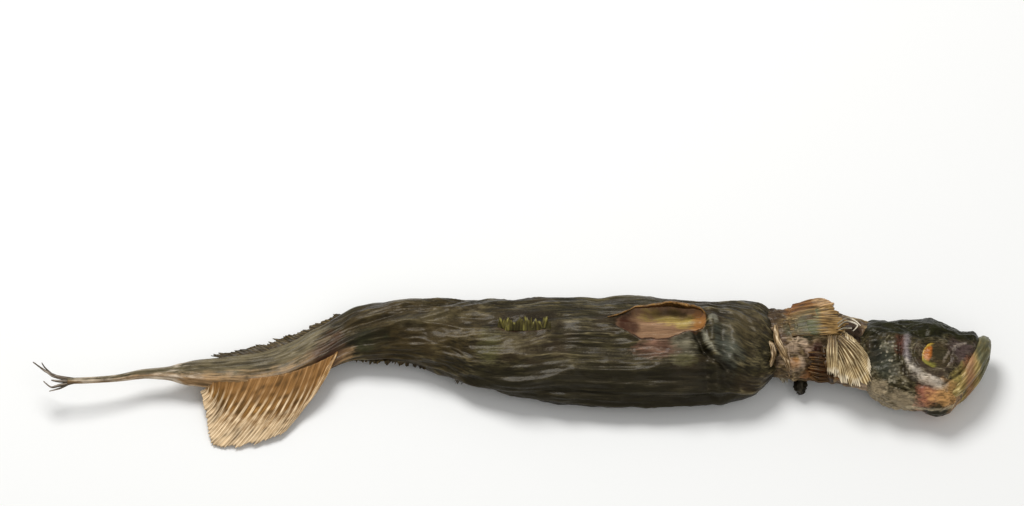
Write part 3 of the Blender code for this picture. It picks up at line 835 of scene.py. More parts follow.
# The filaments are a comb over the hollow throat: their number, and the angle of the lowest round
# the neck and from one to the next, in degrees from +Y to +Z.
GILL_FILAMENTS, FILAMENT_FIRST, FILAMENT_STEP = 13, 192.0, -6.0
FILAMENT_RADII = (0.7, 0.55, 0.3)
GILL_ARCH = ((167.5, -6.5, 10), (166.5, -7.5, 17), (164, -1, 21.5), (162, 9, 21))
ARCH_RADII = (1.5, 1.7, 1.5, 1.2)
make_bone("gill_arch", GILL_ARCH, ARCH_RADII, dried_gill)
for i in range(GILL_FILAMENTS):
    angle = np.array(FILAMENT_FIRST + FILAMENT_STEP * i + 1.6 * math.sin(2.4 * i))
    ends = ((166, -0.8), (160.5, 0.6 + 0.4 * math.sin(3.7 * i)), (155.5 + math.sin(5.1 * i), -1.2))
    path = [tuple(section(np.array(x), angle, NECK, out, NECK_FLOOR)) for x, out in ends]
    name = f"gill_filament_{i + 1}"
    make_bone(name, path, FILAMENT_RADII, dried_gill, sides=12, steps=40, rough=0.4)


# Throat fin: the black stub of the small fin under the throat, snapped off and dried to tar.
# It is the darkest spot of the fish.

STUB_PATH, STUB_RADII = ((151, -3, 9), (150.8, -8, 7), (151.6, -11, 5)), (2.8, 3.1, 1.4)

# Dried skin and blood: a black crust, with the shine of resin on its lumps.
tarry_stub = dried_tissue(
    "tarry_fin_stub",
    dark="#0c0b08",
    middle="#1d1a14",
    ridge="#3a352b",
    tint="#15120d",
    gloss=(0.3, 0.5),
)
make_bone("throat_fin", STUB_PATH, STUB_RADII, tarry_stub, rough=0.6)


# Fins: thin skin on horny rays. They dried stiff, with the rays standing out and the edge in tatters.
# The anal fin is spread flat as a fan, the pectorals, a flap and a scrap of web hang at the torn neck,
# and the back fins lie down.

# Each fin: root line, outer edge, how far its rays bow out (X, Y, Z), rays, ragged share, wave and seed.
FINS = {
    "anal_fan": (
        (
            (-93, 7.0, 15.2), (-106, 0.6, 14.1), (-124, -4.5, 12.7),
            (-146, -6.5, 12.3), (-160, -5.5, 12.6),
        ),
        (
            (-113.5, -24.5, 4), (-121, -34.5, 2), (-134, -39, 2), (-149, -41, 2),
            (-158, -35, 2.5), (-160, -22, 4), (-163, -11, 6.5),
        ),
        (2.0, -1.0, 0), 19, 0.03, 0.8, 1,
    ),
    "pectoral": (
        ((171.5, 13, 26.5), (169.5, 13.5, 26.5), (166.5, 12, 26), (164.5, 9, 25.5)),
        (
            (174, 10, 27), (182, 3.5, 27.3), (187, -5, 26), (186.5, -11.5, 24),
            (180.3, -16, 22), (174.5, -13.5, 21.5), (168, -10.5, 20.5),
        ),
        (1, 1.5, 1.5), 16, 0.06, 0.8, 2,
    ),
    "pectoral_rays": (
        ((170.0, 14, 27), (165.5, 13.5, 26.5)),
        ((170.5, -9, 23), (164.5, -8, 22.5)),
        (-0.6, 0, 1.6), 5, 0.05, 0.3, 7,
    ),
    "nape_flap": (
        ((146.5, 12.5, 24.2), (144.5, 24, 22.5), (147, 34.5, 19)),
        ((168.0, 12.3, 26), (169, 21, 26.5), (168.0, 30.5, 25.5), (163, 36, 23)),
        (0, 0, 1.5), 8, 0.04, 0.9, 8,
    ),
    "upper_pectoral": (
        ((156, 12.6, 26.0), (154, 20, 26.0), (157, 28, 24.5)),
        ((170.5, 12, 27), (173.6, 16.5, 27.6), (172.4, 22, 27.4), (167.5, 31, 25.5)),
        (0, 0, 1.0), 9, 0.2, 0.5, 3,
    ),
    "neck_scrap": (
        ((138, -2.6, 11.5), (144.3, -3.0, 11.5)),
        ((141, -6.2, 9.8), (143.9, -6.8, 9.8)),
        (0, 0, 0), 2, 0.2, 0.2, 10,
    ),
    "torn_fin_base": (
        ((-85, 9.4, 8.2), (-59, 8.4, 8.6), (-38, 2.8, 9.2), (-24, -3.6, 9.2)),
        ((-86, 7.2, 7.2), (-60, 5.8, 7.4), (-39, 0.2, 8.0), (-26, -6.2, 8.2)),
        (0, 0, 0), 26, 0.5, 0.3, 9,
    ),
    "tail_back_fin": (
        ((-84, 31, 9.5), (-102, 21, 8.5), (-122, 11, 8.5), (-146, 6.5, 9.0)),
        ((-92, 36, 8.0), (-112, 25, 7.5), (-134, 16, 8.0), (-158, 10, 9.0)),
        (0, 0, 0), 18, 0.12, 0.5, 4,
    ),
    "first_back_fin": (
        ((112, 24, 4.0), (92, 27, 3.6), (68, 28, 3.6)),
        ((96, 42, 3.6), (78, 44, 3.0), (60, 40, 3.6)),
        (0, 0, 0), 12, 0.15, 0.5, 5,
    ),
    "second_back_fin": (
        ((44, 28, 3.6), (18, 27, 3.6), (-14, 28, 3.4)),
        ((28, 43, 3.2), (2, 43.5, 3.0), (-30, 40, 3.6)),
        (0, 0, 0), 16, 0.15, 0.5, 6,
    ),
}
RAY_THICKNESS, WEB_THICKNESS = 0.55, 0.45
ROWS_IN_FIN, COLUMNS_PER_RAY = 56, 12
# Rays fork between these shares of their length, and are thinner at the tip by this share.
FORK_FROM, FORK_TO, RAY_TAPER = 0.45, 0.85, 0.55
# How far the web crumples up and down, and over what length. It stays this far above the table.
WEB_CRUMPLE, CRUMPLE_LENGTH, WEB_FLOOR = 0.5, 6, 0.7


def make_fin(name, root, edge, bow, rays, ragged, wave, seed, material):
    """A fin: u runs along its root and v from the root out to its torn edge."""
    columns = COLUMNS_PER_RAY * rays + 1
    u = np.linspace(0, 1, columns)[:, None]
    v = np.linspace(0, 1, ROWS_IN_FIN)[None, :]
    foot, tip = along_path(root, u[:, 0])[:, None], along_path(edge, u[:, 0])[:, None]
    split = fade(v, FORK_FROM, FORK_TO)
    single = (0.5 + 0.5 * np.cos(2 * np.pi * u * rays)) ** 4
    forked = (0.5 + 0.5 * np.cos(4 * np.pi * u * rays + np.pi)) ** 3
    ray = (1 - split) * single + split * forked
    line = np.concatenate([u * 37, 0 * u, 0 * u], axis=1)
    reach = 1 + ragged * lumps(line, 1, seed) + 0.5 * ragged * lumps(line * rays / 6, 1, seed + 9)
    reach = reach[:, None] - 0.4 * ragged * (1 - ray[:, -1:])
    v = v * reach
    middle = foot + (tip - foot) * v[..., None] + np.array(bow) * (4 * v * (1 - v))[..., None]
    curl = wave * np.sin(v * 5 + u * 9 + seed) * v
    crumple = WEB_CRUMPLE * lumps(middle, CRUMPLE_LENGTH, seed) * v
    middle[..., 2] = np.maximum(middle[..., 2] + curl + crumple, WEB_FLOOR)
    thickness = WEB_THICKNESS + RAY_THICKNESS * ray * (1 - RAY_TAPER * v)
    length = np.linalg.norm(tip - foot, axis=-1)
    width = np.linalg.norm(np.diff(tip[:, 0], axis=0), axis=1).sum()
    place = np.stack([v * length, u * width + 0 * v, 0 * u * v], axis=-1)
    crease = np.clip(0.3 + 0.5 * ray + 0.3 * lumps(place, 3, seed), 0, 1)
    masks = {
        "crease": crease,
        "ray": ray * fade(v, 0.15, 0.45) * np.clip(0.8 + 0.5 * lumps(place, 6, seed + 3), 0, 1),
        "rim": fade(v, 0.84, 0.97) * fade(lumps(place, 3, seed + 4), -0.5, 0.2),
        "tip": fade(v, 0.45, 0.95) + 0 * u,
        "root": 1 - fade(v, 0.1, 0.5) + 0 * u,
        "teal": bump(v - 0.35, 0.35) * bump(u - 0.25, 0.3),
        "rust": bump(v - 0.1, 0.5) * fade(u, 0.55, 0.85),
    }
    return thin_piece(name, middle, thickness, masks, place, material)


# Dried fin: horny rays, pale as parchment, in a web that dried to clear amber. Thin spots look yellow.
parchment_fin = dried_tissue(
    "parchment_fin",
    dark="#6f481c",
    middle="#a0743a",
    ridge="#cdb48e",
    tint="#8f6a40",
    patches=(
        ("tip", "#dabd95"),
        ("ray", "#e4cca8"),
        ("root", "#8a6236"),
    ),
    gloss=(0.34, 0.6),
    streak=(16.0, 0.6),
    relief=0.2,
)
# The pectorals are paler, bleached to cream at the rays.
cream_fin = dried_tissue(
    "cream_pectoral_fin",
    dark="#3d2a14",
    middle="#775d38",
    ridge="#cdb78f",
    tint="#624c2b",
    patches=(
        ("tip", "#94794c"),
        ("ray", "#dfcba0"),
        ("rim", "#dccdb0"),
    ),
    gloss=(0.32, 0.56),
    streak=(10.0, 0.5),
    relief=0.2,
)
# The upper pectoral kept its web, so its rays show only as ridges in the brown.
brown_fin = dried_tissue(
    "brown_pectoral_fin",
    dark="#3f2b13",
    middle="#856433",
    ridge="#b8975f",
    tint="#6d5230",
    patches=(("tip", "#8d6d40"), ("ray", "#a98957"), ("root", "#5a6046", "soft")),
    gloss=(0.32, 0.56),
    streak=(10.0, 0.5),
    relief=0.2,
)
# The torn flap at the nape is fat skin: orange at its foot and grey-green where the scales were.
fatty_flap = dried_tissue(
    "fatty_nape_flap",
    dark="#43280f",
    middle="#7d572b",
    ridge="#a98a5a",
    tint="#62502c",
    patches=(
        ("ray", "#967546"),
        ("teal", "#4b5240"),
        ("rust", "#7e4a20"),
        ("tip", "#b8946a"),
    ),
    gloss=(0.3, 0.5),
    streak=(9.0, 0.7),
)
# The back fins kept the back's dark skin, so their web is brown-black.
smoky_fin = dried_tissue(
    "smoky_back_fin",
    dark="#17130c",
    middle="#332a1a",
    ridge="#6b5b3d",
    tint="#3d301d",
    patches=(("ray", "#54472d"),),
    gloss=(0.36, 0.6),
    streak=(14.0, 0.8),
    relief=0.2,
)
# Rays and scraps of web that the sun bleached, chalky and almost white.
bleached_ray = dried_tissue(
    "bleached_ray",
    dark="#8a7f6a",
    middle="#b8ad97",
    ridge="#dcd3c1",
    tint="#a2937a",
    gloss=(0.34, 0.6),
    relief=0.1,
)
FIN_SKINS = {
    "anal_fan": parchment_fin,
    "pectoral": cream_fin,
    "pectoral_rays": cream_fin,
    "upper_pectoral": brown_fin,
    "nape_flap": fatty_flap,
    "neck_scrap": bleached_ray,
}
for fin, shape in FINS.items():
    make_fin(fin, *shape, FIN_SKINS.get(fin, smoky_fin))
# Three bleached rays stand free of the upper pectoral, bent into loops.
LOOSE_RADII = (0.4, 0.42, 0.25)
LOOSE_RAYS = (
    ((169, 15.0, 27.4), (175, 19.5, 28.4), (180.5, 17.0, 28.2), (178.0, 14.0, 27.6)),
    ((170, 18.5, 27.4), (175.5, 21.5, 28.4), (179.0, 20.0, 28.4), (182.0, 17.0, 28.0)),
    ((169, 13.5, 27.2), (173.5, 15.5, 28.0), (177.5, 15.5, 28.0)),
)
for i, path in enumerate(LOOSE_RAYS):
    make_bone(f"loose_ray_{i + 1}", path, LOOSE_RADII, bleached_ray, sides=10, steps=40, rough=0.2)
# The fan's first ray is a thick quill, and pales towards its tip.
LEADING_RAY = ((-91.5, 9.0, 14.6), (-97.8, -3.8, 12.4), (-105.0, -15.0, 8.2), (-113.5, -24.8, 4))
LEADING_RADII = (0.5, 1.2, 1.2, 0.9, 0.4)
make_bone("leading_ray", LEADING_RAY, LEADING_RADII, parchment_fin, rough=0.12, masks={"tip": (0.2, 0.8)})


# Ray stumps: the comb that is left of the first anal fin behind the vent, with a strip of its web, and
# the frayed tail rays. They are bare horny rays, yellow by the vent and weathered grey at the tail.

# The stumps' number, the first one's X, the pitch, and how far each leans to one side or the other.
STUMPS, STUMP_START, STUMP_PITCH, STUMP_LEAN = 8, -5.6, 3.35, 0.8
STUMP_FOOT, STUMP_REACH, STUMP_RADII = (16.6, 26.3), 6.0, (1.15, 1.0, 0.5)
# What is left of the web between them: its foot, its torn edge and the rest of a fin's values.
VENT_WEB = (
    ((-7.5, 15.6, 25.4), (6, 15.0, 26.2), (20, 15.8, 25.2)),
    ((-7.5, 20.4, 27.4), (6, 20.8, 28.2), (20, 20.4, 27.2)),
    (0, 0, 0.4), 4, 0.4, 0.2, 12,
)
# Each tail ray: its path from the root outwards, and the radii spread along it.
TAIL_ROOT = (-226, -9.6, 16.5)
TAIL_RAYS = (
    ((TAIL_ROOT, (-237, -8.6, 18.5), (-243, -6, 20), (-250, -1.4, 22)), (1.4, 1.1, 0.7, 0.25)),
    ((TAIL_ROOT, (-236, -12.5, 16.5), (-240, -13.2, 16), (-244.5, -9.5, 16)), (1.3, 0.9, 0.6, 0.25)),
    ((TAIL_ROOT, (-236, -10.6, 17.5), (-240.5, -10, 18)), (1.2, 0.8, 0.3)),
    (((-232, -9.4, 17.6), (-239, -8.8, 19.2), (-245, -4.2, 20.4)), (0.8, 0.5, 0.25)),
    (((-230, -10.4, 16.5), (-236, -13.6, 15.6), (-241.5, -15.0, 15.0)), (0.7, 0.5, 0.2)),
    (((-240, -7.0, 19.2), (-244, -3.6, 20.6), (-245.5, -1.2, 21.0)), (0.5, 0.4, 0.2)),
)

# Horny ray: bare, split and half clear, yellow-green and dull.
horny_ray = dried_tissue(
    "horny_ray",
    dark="#242009",
    middle="#524c20",
    ridge="#767038",
    tint="#363114",
    gloss=(0.42, 0.62),
)
# Weathered ray: the wind took its web and bleached it to a dry, dull grey-brown.
weathered_ray = dried_tissue(
    "weathered_tail_ray",
    dark="#3f372e",
    middle="#6c6053",
    ridge="#a0968a",
    tint="#5d5043",
    gloss=(0.4, 0.65),
)
make_fin("vent_web", *VENT_WEB, horny_ray)
foot_y, foot_z = STUMP_FOOT
for i in range(STUMPS):
    x = STUMP_START + STUMP_PITCH * i + 0.3 * math.sin(4.3 * i)
    lean = STUMP_LEAN * (-1, 1)[i % 2]
    reach = STUMP_REACH * (0.75 + 0.25 * math.sin(1.9 * i + 0.6))
    path = ((x - lean, foot_y, foot_z), (x + lean, foot_y + reach, foot_z + 0.3 * reach))
    make_bone(f"ray_stump_{i + 1}", path, STUMP_RADII, horny_ray, sides=12, steps=24)
for i, (path, radii) in enumerate(TAIL_RAYS):
    make_bone(f"tail_ray_{i + 1}", path, radii, weathered_ray, sides=10, steps=50, rough=0.35)


# Head: skull and gill covers under thin skin, pressed flat in drying. The skin shrank into the cheek
# and round the eye, and left the bones of the gill cover and the jaws standing out.

HEAD = (
    (182, 6.7, 14.6, 17.4, 8.0),
    (187, 4.8, 14.6, 21.2, 12.0),
    (194, 2.5, 14.6, 24.1, 14.4),
    (204, 1.3, 14.6, 25.2, 15.0),
    (212, 0.8, 14.6, 26.2, 15.2),
    (218, 0.0, 14.6, 28.2, 15.0),
    (223, -0.9, 14.6, 27.4, 14.2),
    (228, -1.2, 14.6, 25.0, 13.2),
    (233, 0.4, 14.6, 21.4, 11.6),
    (238, 4.0, 14.5, 16.0, 9.6),
    (243, 8.0, 14.4, 11.0, 7.6),
    (246, 9.6, 14.4, 8.0, 6.0),
)
HEAD_MIDDLE_Z = 14.6
SNOUT_ROUND = 5.0
# The eye: X and Y, its radius, how much taller than wide it is, and how far out from the middle.
EYE_PLACE, EYE_RADIUS, EYE_TALL, EYE_OUT = (220.4, -0.8), 9.0, 1.02, 10.9
SOCKET_DEPTH, SOCKET_RIM, RIM_WIDTH = 3.6, 1.1, 1.5
HEAD_LUMPS = ((0.9, 9, 4), (0.5, 4, 5))
# Wrinkles of the head's skin, coarse and fine: length, width, height and seed.
HEAD_WRINKLES = ((6.0, 3.4, 0.55, 41), (2.6, 1.3, 0.18, 42))
# The ridge of the cheek bone, which bends round below the eye, and the groove behind it.
CHEEK_BONE = (
    (206.4, 10.5), (205.4, 3.0), (206.6, -5.0), (211.0, -11.2), (217.0, -14.6), (223.5, -16.2),
)
CHEEK_GROOVE = ((202.6, 10.0), (201.6, 1.0), (203.4, -8.0), (209.5, -15.0), (219.0, -18.6))
# The snout's low ridge, with a painted highlight along it, and the pale seam of the throat, low on the
# cheek.
SNOUT_RIDGE = ((227.5, -5.0), (229.6, 1.0), (232.0, 6.0), (236.5, 8.6))
THROAT_SEAM = (
    (206.0, -24.0, 14.2), (212.0, -25.4, 15.2), (218.0, -27.4, 17.4),
    (224.0, -26.8, 17.2), (230.5, -24.8, 16.0),
)
# Hollows of the cheek and gill cover: X, Y, radius and depth.
HEAD_HOLLOWS = (
    (229, -8, 4, 1.2),
    (196, -3, 5, 1.3),
    (233.5, 10, 3.6, 0.9),
    (233.8, 4.6, 1.0, 1.7),
    (230.6, 8.8, 0.8, 1.3),
    (214, 11, 4.0, 1.0),
    (190, 6, 3.0, 1.4),
    (226.5, -20, 3.0, 0.9),
)
# Height and width of the cheek bone's ridge, the groove and the snout's ridge.
BONE_SIZE, GROOVE_SIZE, SNOUT_RIDGE_SIZE = (1.5, 1.9), (-1.2, 1.4), (0.6, 1.0)
# The gape of the mouth, seen from above, and the lips on both sides: distance, height and width.
MOUTH = ((244.6, 11.5), (240.6, 1.0), (236.4, -6.0), (230.0, -12.5), (224.0, -17.0))
MOUTH_SHAPE = ((0, -1.2, 0.9), (2.8, 0.5, 1.2))
# Pleats of the throat, and ribs of the gill cover: their height. The ribs spread from this place.
PLEAT_HEIGHT, RIB_HEIGHT, RIB_MIDDLE, RIBS_IN_RADIAN = 0.5, 0.3, (212, 6), 17
# Coloured patches of the head: mask, X, Y, half sizes and turn.
HEAD_PATCHES = (
    ("snout", 234.0, 3.5, 9.5, 9.0, 0),
    ("teal", 194.0, -4.0, 7.5, 13.0, 12),
    # Cream flecks in the scale pockets of the gill cover: painted glints.
    ("flecks", 199.5, -10.5, 8.5, 9.0, 25),
    ("flecks", 197.0, 3.0, 6.0, 6.0, 0),
    ("navy", 189.6, 3.5, 3.0, 9.5, 0),
    ("cream", 190.5, -17.0, 9.5, 3.8, -32),
    ("cream", 203.5, -22.6, 9.5, 3.4, -12),
    # A pale painted highlight low on the cheek.
    ("cheek_highlight", 217.0, -15.5, 9.5, 2.6, -16),
    ("red", 216.0, -20.2, 6.4, 6.6, 0),
    ("russet", 203.2, 6.0, 4.0, 5.6, 10),
    ("orange", 225.0, -21.4, 9.4, 6.0, 12),
    ("yellow", 231.0, -15.0, 4.0, 9.5, -32),
    ("yellow", 236.2, -8.0, 3.4, 7.0, -28),
    ("flush", 238.6, -3.0, 2.6, 5.5, -20),
    ("deep", 219.0, -28.5, 13.0, 2.4, 0),
    ("deep", 243.0, 15.0, 3.0, 3.4, 0),
)


def make_head(material, rings=270, around=350):
    rows, angle = evenly(HEAD, rings, around)
    points = section(rows, angle, HEAD, np.zeros((rings, around)), 0)
    x, y = points[..., 0], points[..., 1]
    flank = np.abs(np.sin(np.radians(angle)))
    from_eye = np.hypot(x - EYE_PLACE[0], (y - EYE_PLACE[1]) / EYE_TALL)
    socket = SOCKET_DEPTH * (1 - fade(from_eye, 0.5 * EYE_RADIUS, 1.05 * EYE_RADIUS))
    rim = SOCKET_RIM * bump(from_eye - EYE_RADIUS - 1.4, RIM_WIDTH)
    bone, groove = from_line(points, CHEEK_BONE), from_line(points, CHEEK_GROOVE)
    snout_highlight, mouth = from_line(points, SNOUT_RIDGE), from_line(points, MOUTH)
    sizes = ((bone, *BONE_SIZE), (groove, *GROOVE_SIZE), (snout_highlight, *SNOUT_RIDGE_SIZE))
    ridges = sum(height * bump(away, width) for away, height, width in sizes)
    (coarse, fine), relief = shrunk(points, HEAD_WRINKLES)
    relief += (rim - socket + ridges + hollowed(points, HEAD_HOLLOWS)) * flank
    relief += sum(height * bump(mouth - away, width) for away, height, width in MOUTH_SHAPE)
    # The throat is pleated, and the gill cover has low ribs that spread from the cheek like a fan.
    throat = fade(-y, 13, 19) * (1 - fade(x, 206, 214))
    relief += PLEAT_HEIGHT * throat * np.sin(y * 2.1 + x * 0.9)
    fan = np.arctan2(y - RIB_MIDDLE[1], RIB_MIDDLE[0] - x)
    cover = 1 - fade(x, 200, 205)
    relief += RIB_HEIGHT * cover * np.sin(fan * RIBS_IN_RADIAN + 2 * lumps(points, 7, 46)) * flank
    relief += lumpy(points, HEAD_LUMPS)

    masks = patched(points, HEAD_PATCHES)
    masks["olive"] = fade(y + 2.4 * lumps(points, 6, 47), 9.0, 14.0)
    side_bone = bump(bone, 1.7) * fade(flank, 0.3, 0.7)
    low = fade(-y + 1.5 * lumps(points, 4, 48), 0, 9)
    # A painted highlight along the cheek bone, mostly low on the cheek, broken into spots.
    masks["painted_highlight"] = side_bone * np.clip(0.6 + 0.8 * lumps(points, 3.0, 43), 0, 1) * low
    masks["lilac"] = side_bone * (1 - 0.8 * low)
    # A pale line along the snout's ridge: a painted highlight.
    masks["snout_highlight"] = bump(snout_highlight, 0.9) * (0.6 + 0.6 * lumps(points, 2.6, 44))
    masks["seam"] = bump(from_line(points, THROAT_SEAM), 1.0)
    # The mouth's gape is painted dark along its groove: painted shade.
    masks["deep"] = np.maximum(masks["deep"], 0.8 * bump(mouth, 0.7))
    # Painted shade in the groove behind the cheek bone and a painted highlight on the bone; the olive top
    # is kept darker.
    shaded = -0.5 * bump(groove, 1.2) + 0.3 * bump(bone, 1.5) - 0.25 * masks["olive"]
    masks["crease"] = np.clip(0.24 + 0.36 * coarse + 0.2 * fine + shaded, 0, 1)
    points = section(rows, angle, HEAD, relief, 0)
    points = closed_in(points, rows, HEAD, HEAD[-1][0] - SNOUT_ROUND, SNOUT_ROUND)
    return lofted("head", points, masks, points, material)


# Head skin: thinner than the trunk's and drawn tight over bone, so it is patchy and catches the light;
# its brightest highlights are painted.
tight_head_skin = dried_tissue(
    "tight_head_skin",
    dark="#262110",
    middle="#4d452e",
    ridge="#8f856c",
    tint="#43362c",
    # The palest colours, low on the cheek, along the cheek bone and the snout, and the gill cover's
    # flecks, are painted highlights and glints.
    patches=(
        ("teal", "#30352c"),
        ("navy", "#12150f"),
        ("snout", "#493a39"),
        ("cream", "#95856a"),
        ("yellow", "#9d8a4e"),
        ("flush", "#8d5e42"),
        ("red", "#925b47"),
        ("orange", "#bd8d57"),
        ("russet", "#5c3329"),
        ("cheek_highlight", "#b7a994"),
        ("lilac", "#7c7373"),
        ("painted_highlight", "#b2a899"),
        ("snout_highlight", "#998c7e"),
        ("flecks", "#968d78", "spots"),
        ("olive", "#1c1e09", "soft"),
        ("deep", "#17170b"),
        ("seam", "#b9a98a"),
    ),
    gloss=(0.28, 0.52),
    streak=(3.5, 0.9),
    relief=0.22,
    shine=0.18,
)
make_head(tight_head_skin)


# Lower jaw: two bones that meet in the raised chin. It dried pushed forward, past the snout.
# The chin kept its grey-green skin, and the sides are bare yellow bone.

CHIN = (246.9, 14.5, 14.6)
JAW_PATH = ((245.8, 8.6, 18.2), (240.4, -2.8, 19.7), (232.8, -14.0, 19.9), (224.2, -21.4, 17.8))
JAW_RADII = (2.6, 4.6, 5.1, 4.5, 3.6, 4.5, 5.1, 4.6, 2.6)

# Jaw bone: bare and smooth, yellow with fish oil, with a soft shine.
jaw_bone = dried_tissue(
    "yellow_jaw_bone",
    dark="#7a6734",
    middle="#a38c55",
    ridge="#cbb985",
    tint="#95814c",
    patches=(("rosy", "#90694a", "soft"), ("chin", "#464c3b")),
    gloss=(0.26, 0.5),
    streak=(7.0, 1.1),
    relief=0.2,
)


def make_jaw(material):
    """Both jaw bones and the chin in one sweep, from the right corner of the mouth to the left."""
    left = [(x, y, 2 * HEAD_MIDDLE_Z - z) for x, y, z in JAW_PATH]
    path = list(JAW_PATH)[::-1] + [CHIN] + left
    jaw = make_bone("jaw", path, JAW_RADII, material, sides=70, steps=340, rough=0.07)
    places = np.array([vertex.co for vertex in jaw.data.vertices]) / MM - TO_CENTRE
    x, y = places[:, 0], places[:, 1]
    keep_masks(jaw.data, {"chin": fade(x + 0.3 * y, 241.5, 245.5), "rosy": bump(x - 239, 2.6)})


make_jaw(jaw_bone)


# Eyes: the eyeball shrank to a sunken bead. Its iris shows as an orange crescent with a gold rim behind
# the dark pupil, and its skin is still glossy.

# The bead's thickness as a share of its width, and its points from pole to pole and round it.
EYE_FLAT, EYE_RINGS, EYE_SIDES = 0.42, 60, 80
# The pupil sits off the middle, and sank in by this much over this width.
PUPIL_SHIFT, PUPIL_RADIUS, PUPIL_SUNK, SUNK_WIDTH = (2.6, 0.8), 4.2, 1.0, 3.2
# The iris shows as an oval: its middle and half sizes.
IRIS_PLACE, IRIS_SIZE = (-4.0, 1.6), (2.9, 5.6)


def make_eye(side, material):
    """A bead of rings from its outer face to its inner one, for the right side (1) or the left (-1)."""
    turn = (np.arange(EYE_SIDES) * 360 / EYE_SIDES)[None, :]
    fall = np.linspace(6, 174, EYE_RINGS)[:, None]
    across = EYE_RADIUS * np.sin(np.radians(fall))
    x, y = across * np.cos(np.radians(turn)), across * np.sin(np.radians(turn))
    z = EYE_RADIUS * EYE_FLAT * np.cos(np.radians(fall)) + 0 * turn
    from_pupil = np.hypot(x - PUPIL_SHIFT[0], y - PUPIL_SHIFT[1])
    z = z - PUPIL_SUNK * bump(from_pupil, SUNK_WIDTH) * (z > 0)
    beads = np.stack([x, y * EYE_TALL, z], axis=-1)
    crumple = wrinkles(beads, 2.6, 1.6, 61)
    beads = beads * (1 + 0.03 * crumple * fade(from_pupil, 3, 5))[..., None]
    uneven = lumps(beads, 1.8, 63)
    from_iris = np.hypot((x - IRIS_PLACE[0]) / IRIS_SIZE[0], (y - IRIS_PLACE[1]) / IRIS_SIZE[1])
    rim = np.hypot(x, y)
    masks = {
        "crease": 0.34 + 0.2 * crumple,
        "gold": bump(rim - 6.9, 1.1) * fade(-x, -1.0, 3.0),
        "lime": bump(rim - 6.4, 1.5) * fade(-x, -2.0, 1.5) * fade(-y, 0.5, 4.0),
        "iris": 1 - fade(from_iris + 0.14 * uneven, 0.65, 1.1),
        "pupil": 1 - fade(from_pupil + 0.7 * uneven, PUPIL_RADIUS - 1.6, PUPIL_RADIUS + 0.8),
        "rim": fade(rim, 7.7, 8.5),
        "fold": bump(0.94 * (x - 6.6) - 0.35 * (y - 1.5) + 0.5 * uneven, 0.8) * bump(y - 1.5, 4.0),
    }
    beads = beads[::-1] if side < 0 else beads
    masks = {name: values[::-1] if side < 0 else values for name, values in masks.items()}
    placed = beads * (1, 1, side) + (*EYE_PLACE, HEAD_MIDDLE_Z + side * EYE_OUT)
    placed[..., 2] = np.maximum(placed[..., 2], 0.1)
    name = "right_eye" if side > 0 else "left_eye"
    return lofted(name, placed, masks, beads, material)


# Dried eye: the clear cornea shrank on to the iris, and is still smooth enough to glint.
dried_eye = dried_tissue(
    "dried_eye",
    dark="#2c2415",
    middle="#4d4029",
    ridge="#7a6a4b",
    tint="#3d3322",
    patches=(
        ("iris", "#a85a10", "soft"),
        ("gold", "#b5963c", "soft"),
        ("lime", "#85803a", "soft"),
        ("pupil", "#332d1c", "soft"),
        ("rim", "#1d170d", "soft"),
        ("fold", "#8c7f70"),
    ),
    gloss=(0.14, 0.34),
    streak=(2.4, 0.8),
    relief=0.12,
)
for side in (1, -1):
    make_eye(side, dried_eye)


# Studio: a plain pale table top and soft daylight lamps. The camera looks down on the fish from its
# belly side through a long lens, with the fish where the photograph's frame has it.

# The photograph's frame and the origin's place in it, in pixels, and a pixel's size at the fish.
FRAME_WIDTH, FRAME_HEIGHT = 1024, 506
ORIGIN_PIXEL, PIXEL = (512.5, 378.0), 0.524
# How far down the camera looks in degrees, its distance in metres and its film's width.
CAMERA_TILT, CAMERA_DISTANCE, FILM = 60.0, 5.0, 36.0
# Lamps: place and width in metres, and power in watts.
LAMPS = {"window": ((-0.35, 0.75, 1.4), 0.8, 19), "reflector": ((0.6, -0.8, 1.2), 1.2, 3)}
# Half the table top's width in metres, and the strength of the white sky.
TABLE_HALF, SKY_STRENGTH = 4, 0.42


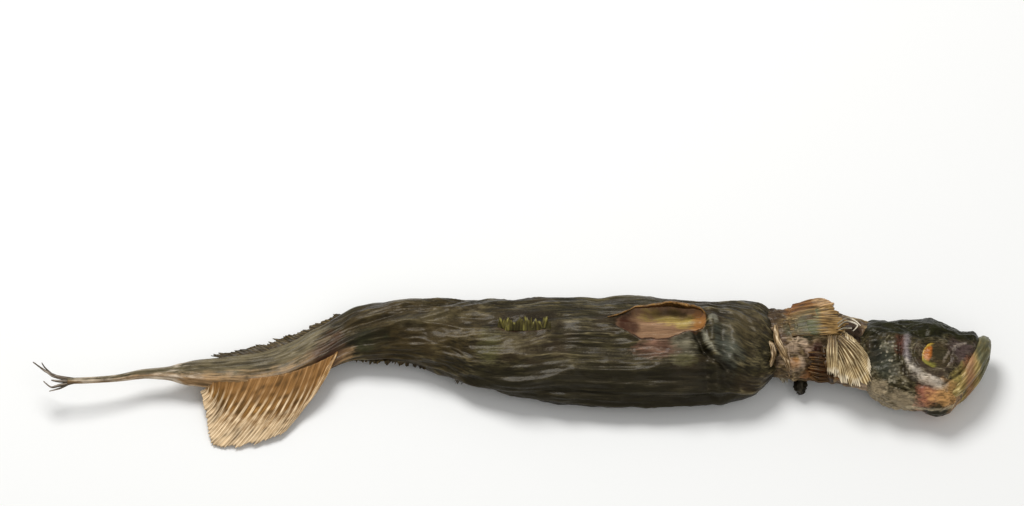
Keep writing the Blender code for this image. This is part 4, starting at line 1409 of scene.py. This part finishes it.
def make_floor():
    mesh = bpy.data.meshes.new("table_top")
    corners = [(x * TABLE_HALF, y * TABLE_HALF, 0) for x, y in ((-1, -1), (1, -1), (1, 1), (-1, 1))]
    mesh.from_pydata(corners, [], [(0, 1, 2, 3)])
    paint = bpy.data.materials.new("matt_white_paint")
    paint.use_nodes = True
    shader = paint.node_tree.nodes["Principled BSDF"]
    shader.inputs["Base Color"].default_value = linear("#f4f4f2")
    shader.inputs["Roughness"].default_value = 0.9
    mesh.materials.append(paint)
    floor = bpy.data.objects.new("table_top", mesh)
    bpy.context.scene.collection.objects.link(floor)


def make_lamp(name, place, size, power):
    light = bpy.data.lights.new(name, "AREA")
    light.shape = "DISK"
    light.size = size
    light.energy = power
    lamp = bpy.data.objects.new(name, light)
    lamp.location = place
    direction = -lamp.location
    lamp.rotation_euler = direction.to_track_quat("-Z", "Y").to_euler()
    bpy.context.scene.collection.objects.link(lamp)


def make_camera():
    tilt = math.radians(CAMERA_TILT)
    right = (FRAME_WIDTH / 2 - ORIGIN_PIXEL[0]) * PIXEL * MM
    up = (ORIGIN_PIXEL[1] - FRAME_HEIGHT / 2) * PIXEL * MM
    target = (right, up * math.sin(tilt), up * math.cos(tilt))
    lens = bpy.data.cameras.new("camera")
    lens.sensor_width = FILM
    lens.lens = FILM * CAMERA_DISTANCE / (FRAME_WIDTH * PIXEL * MM)
    lens.clip_end = 20
    camera = bpy.data.objects.new("camera", lens)
    camera.location = (
        target[0],
        target[1] - CAMERA_DISTANCE * math.cos(tilt),
        target[2] + CAMERA_DISTANCE * math.sin(tilt),
    )
    camera.rotation_euler = (math.radians(90 - CAMERA_TILT), 0, 0)
    bpy.context.scene.collection.objects.link(camera)
    bpy.context.scene.camera = camera


make_floor()
for name, values in LAMPS.items():
    make_lamp(name, *values)
make_camera()
world = bpy.data.worlds.new("studio")
world.use_nodes = True
sky = world.node_tree.nodes["Background"]
sky.inputs["Color"].default_value = (1, 1, 1, 1)
sky.inputs["Strength"].default_value = SKY_STRENGTH
bpy.context.scene.world = world
bpy.context.scene.view_settings.view_transform = "Standard"
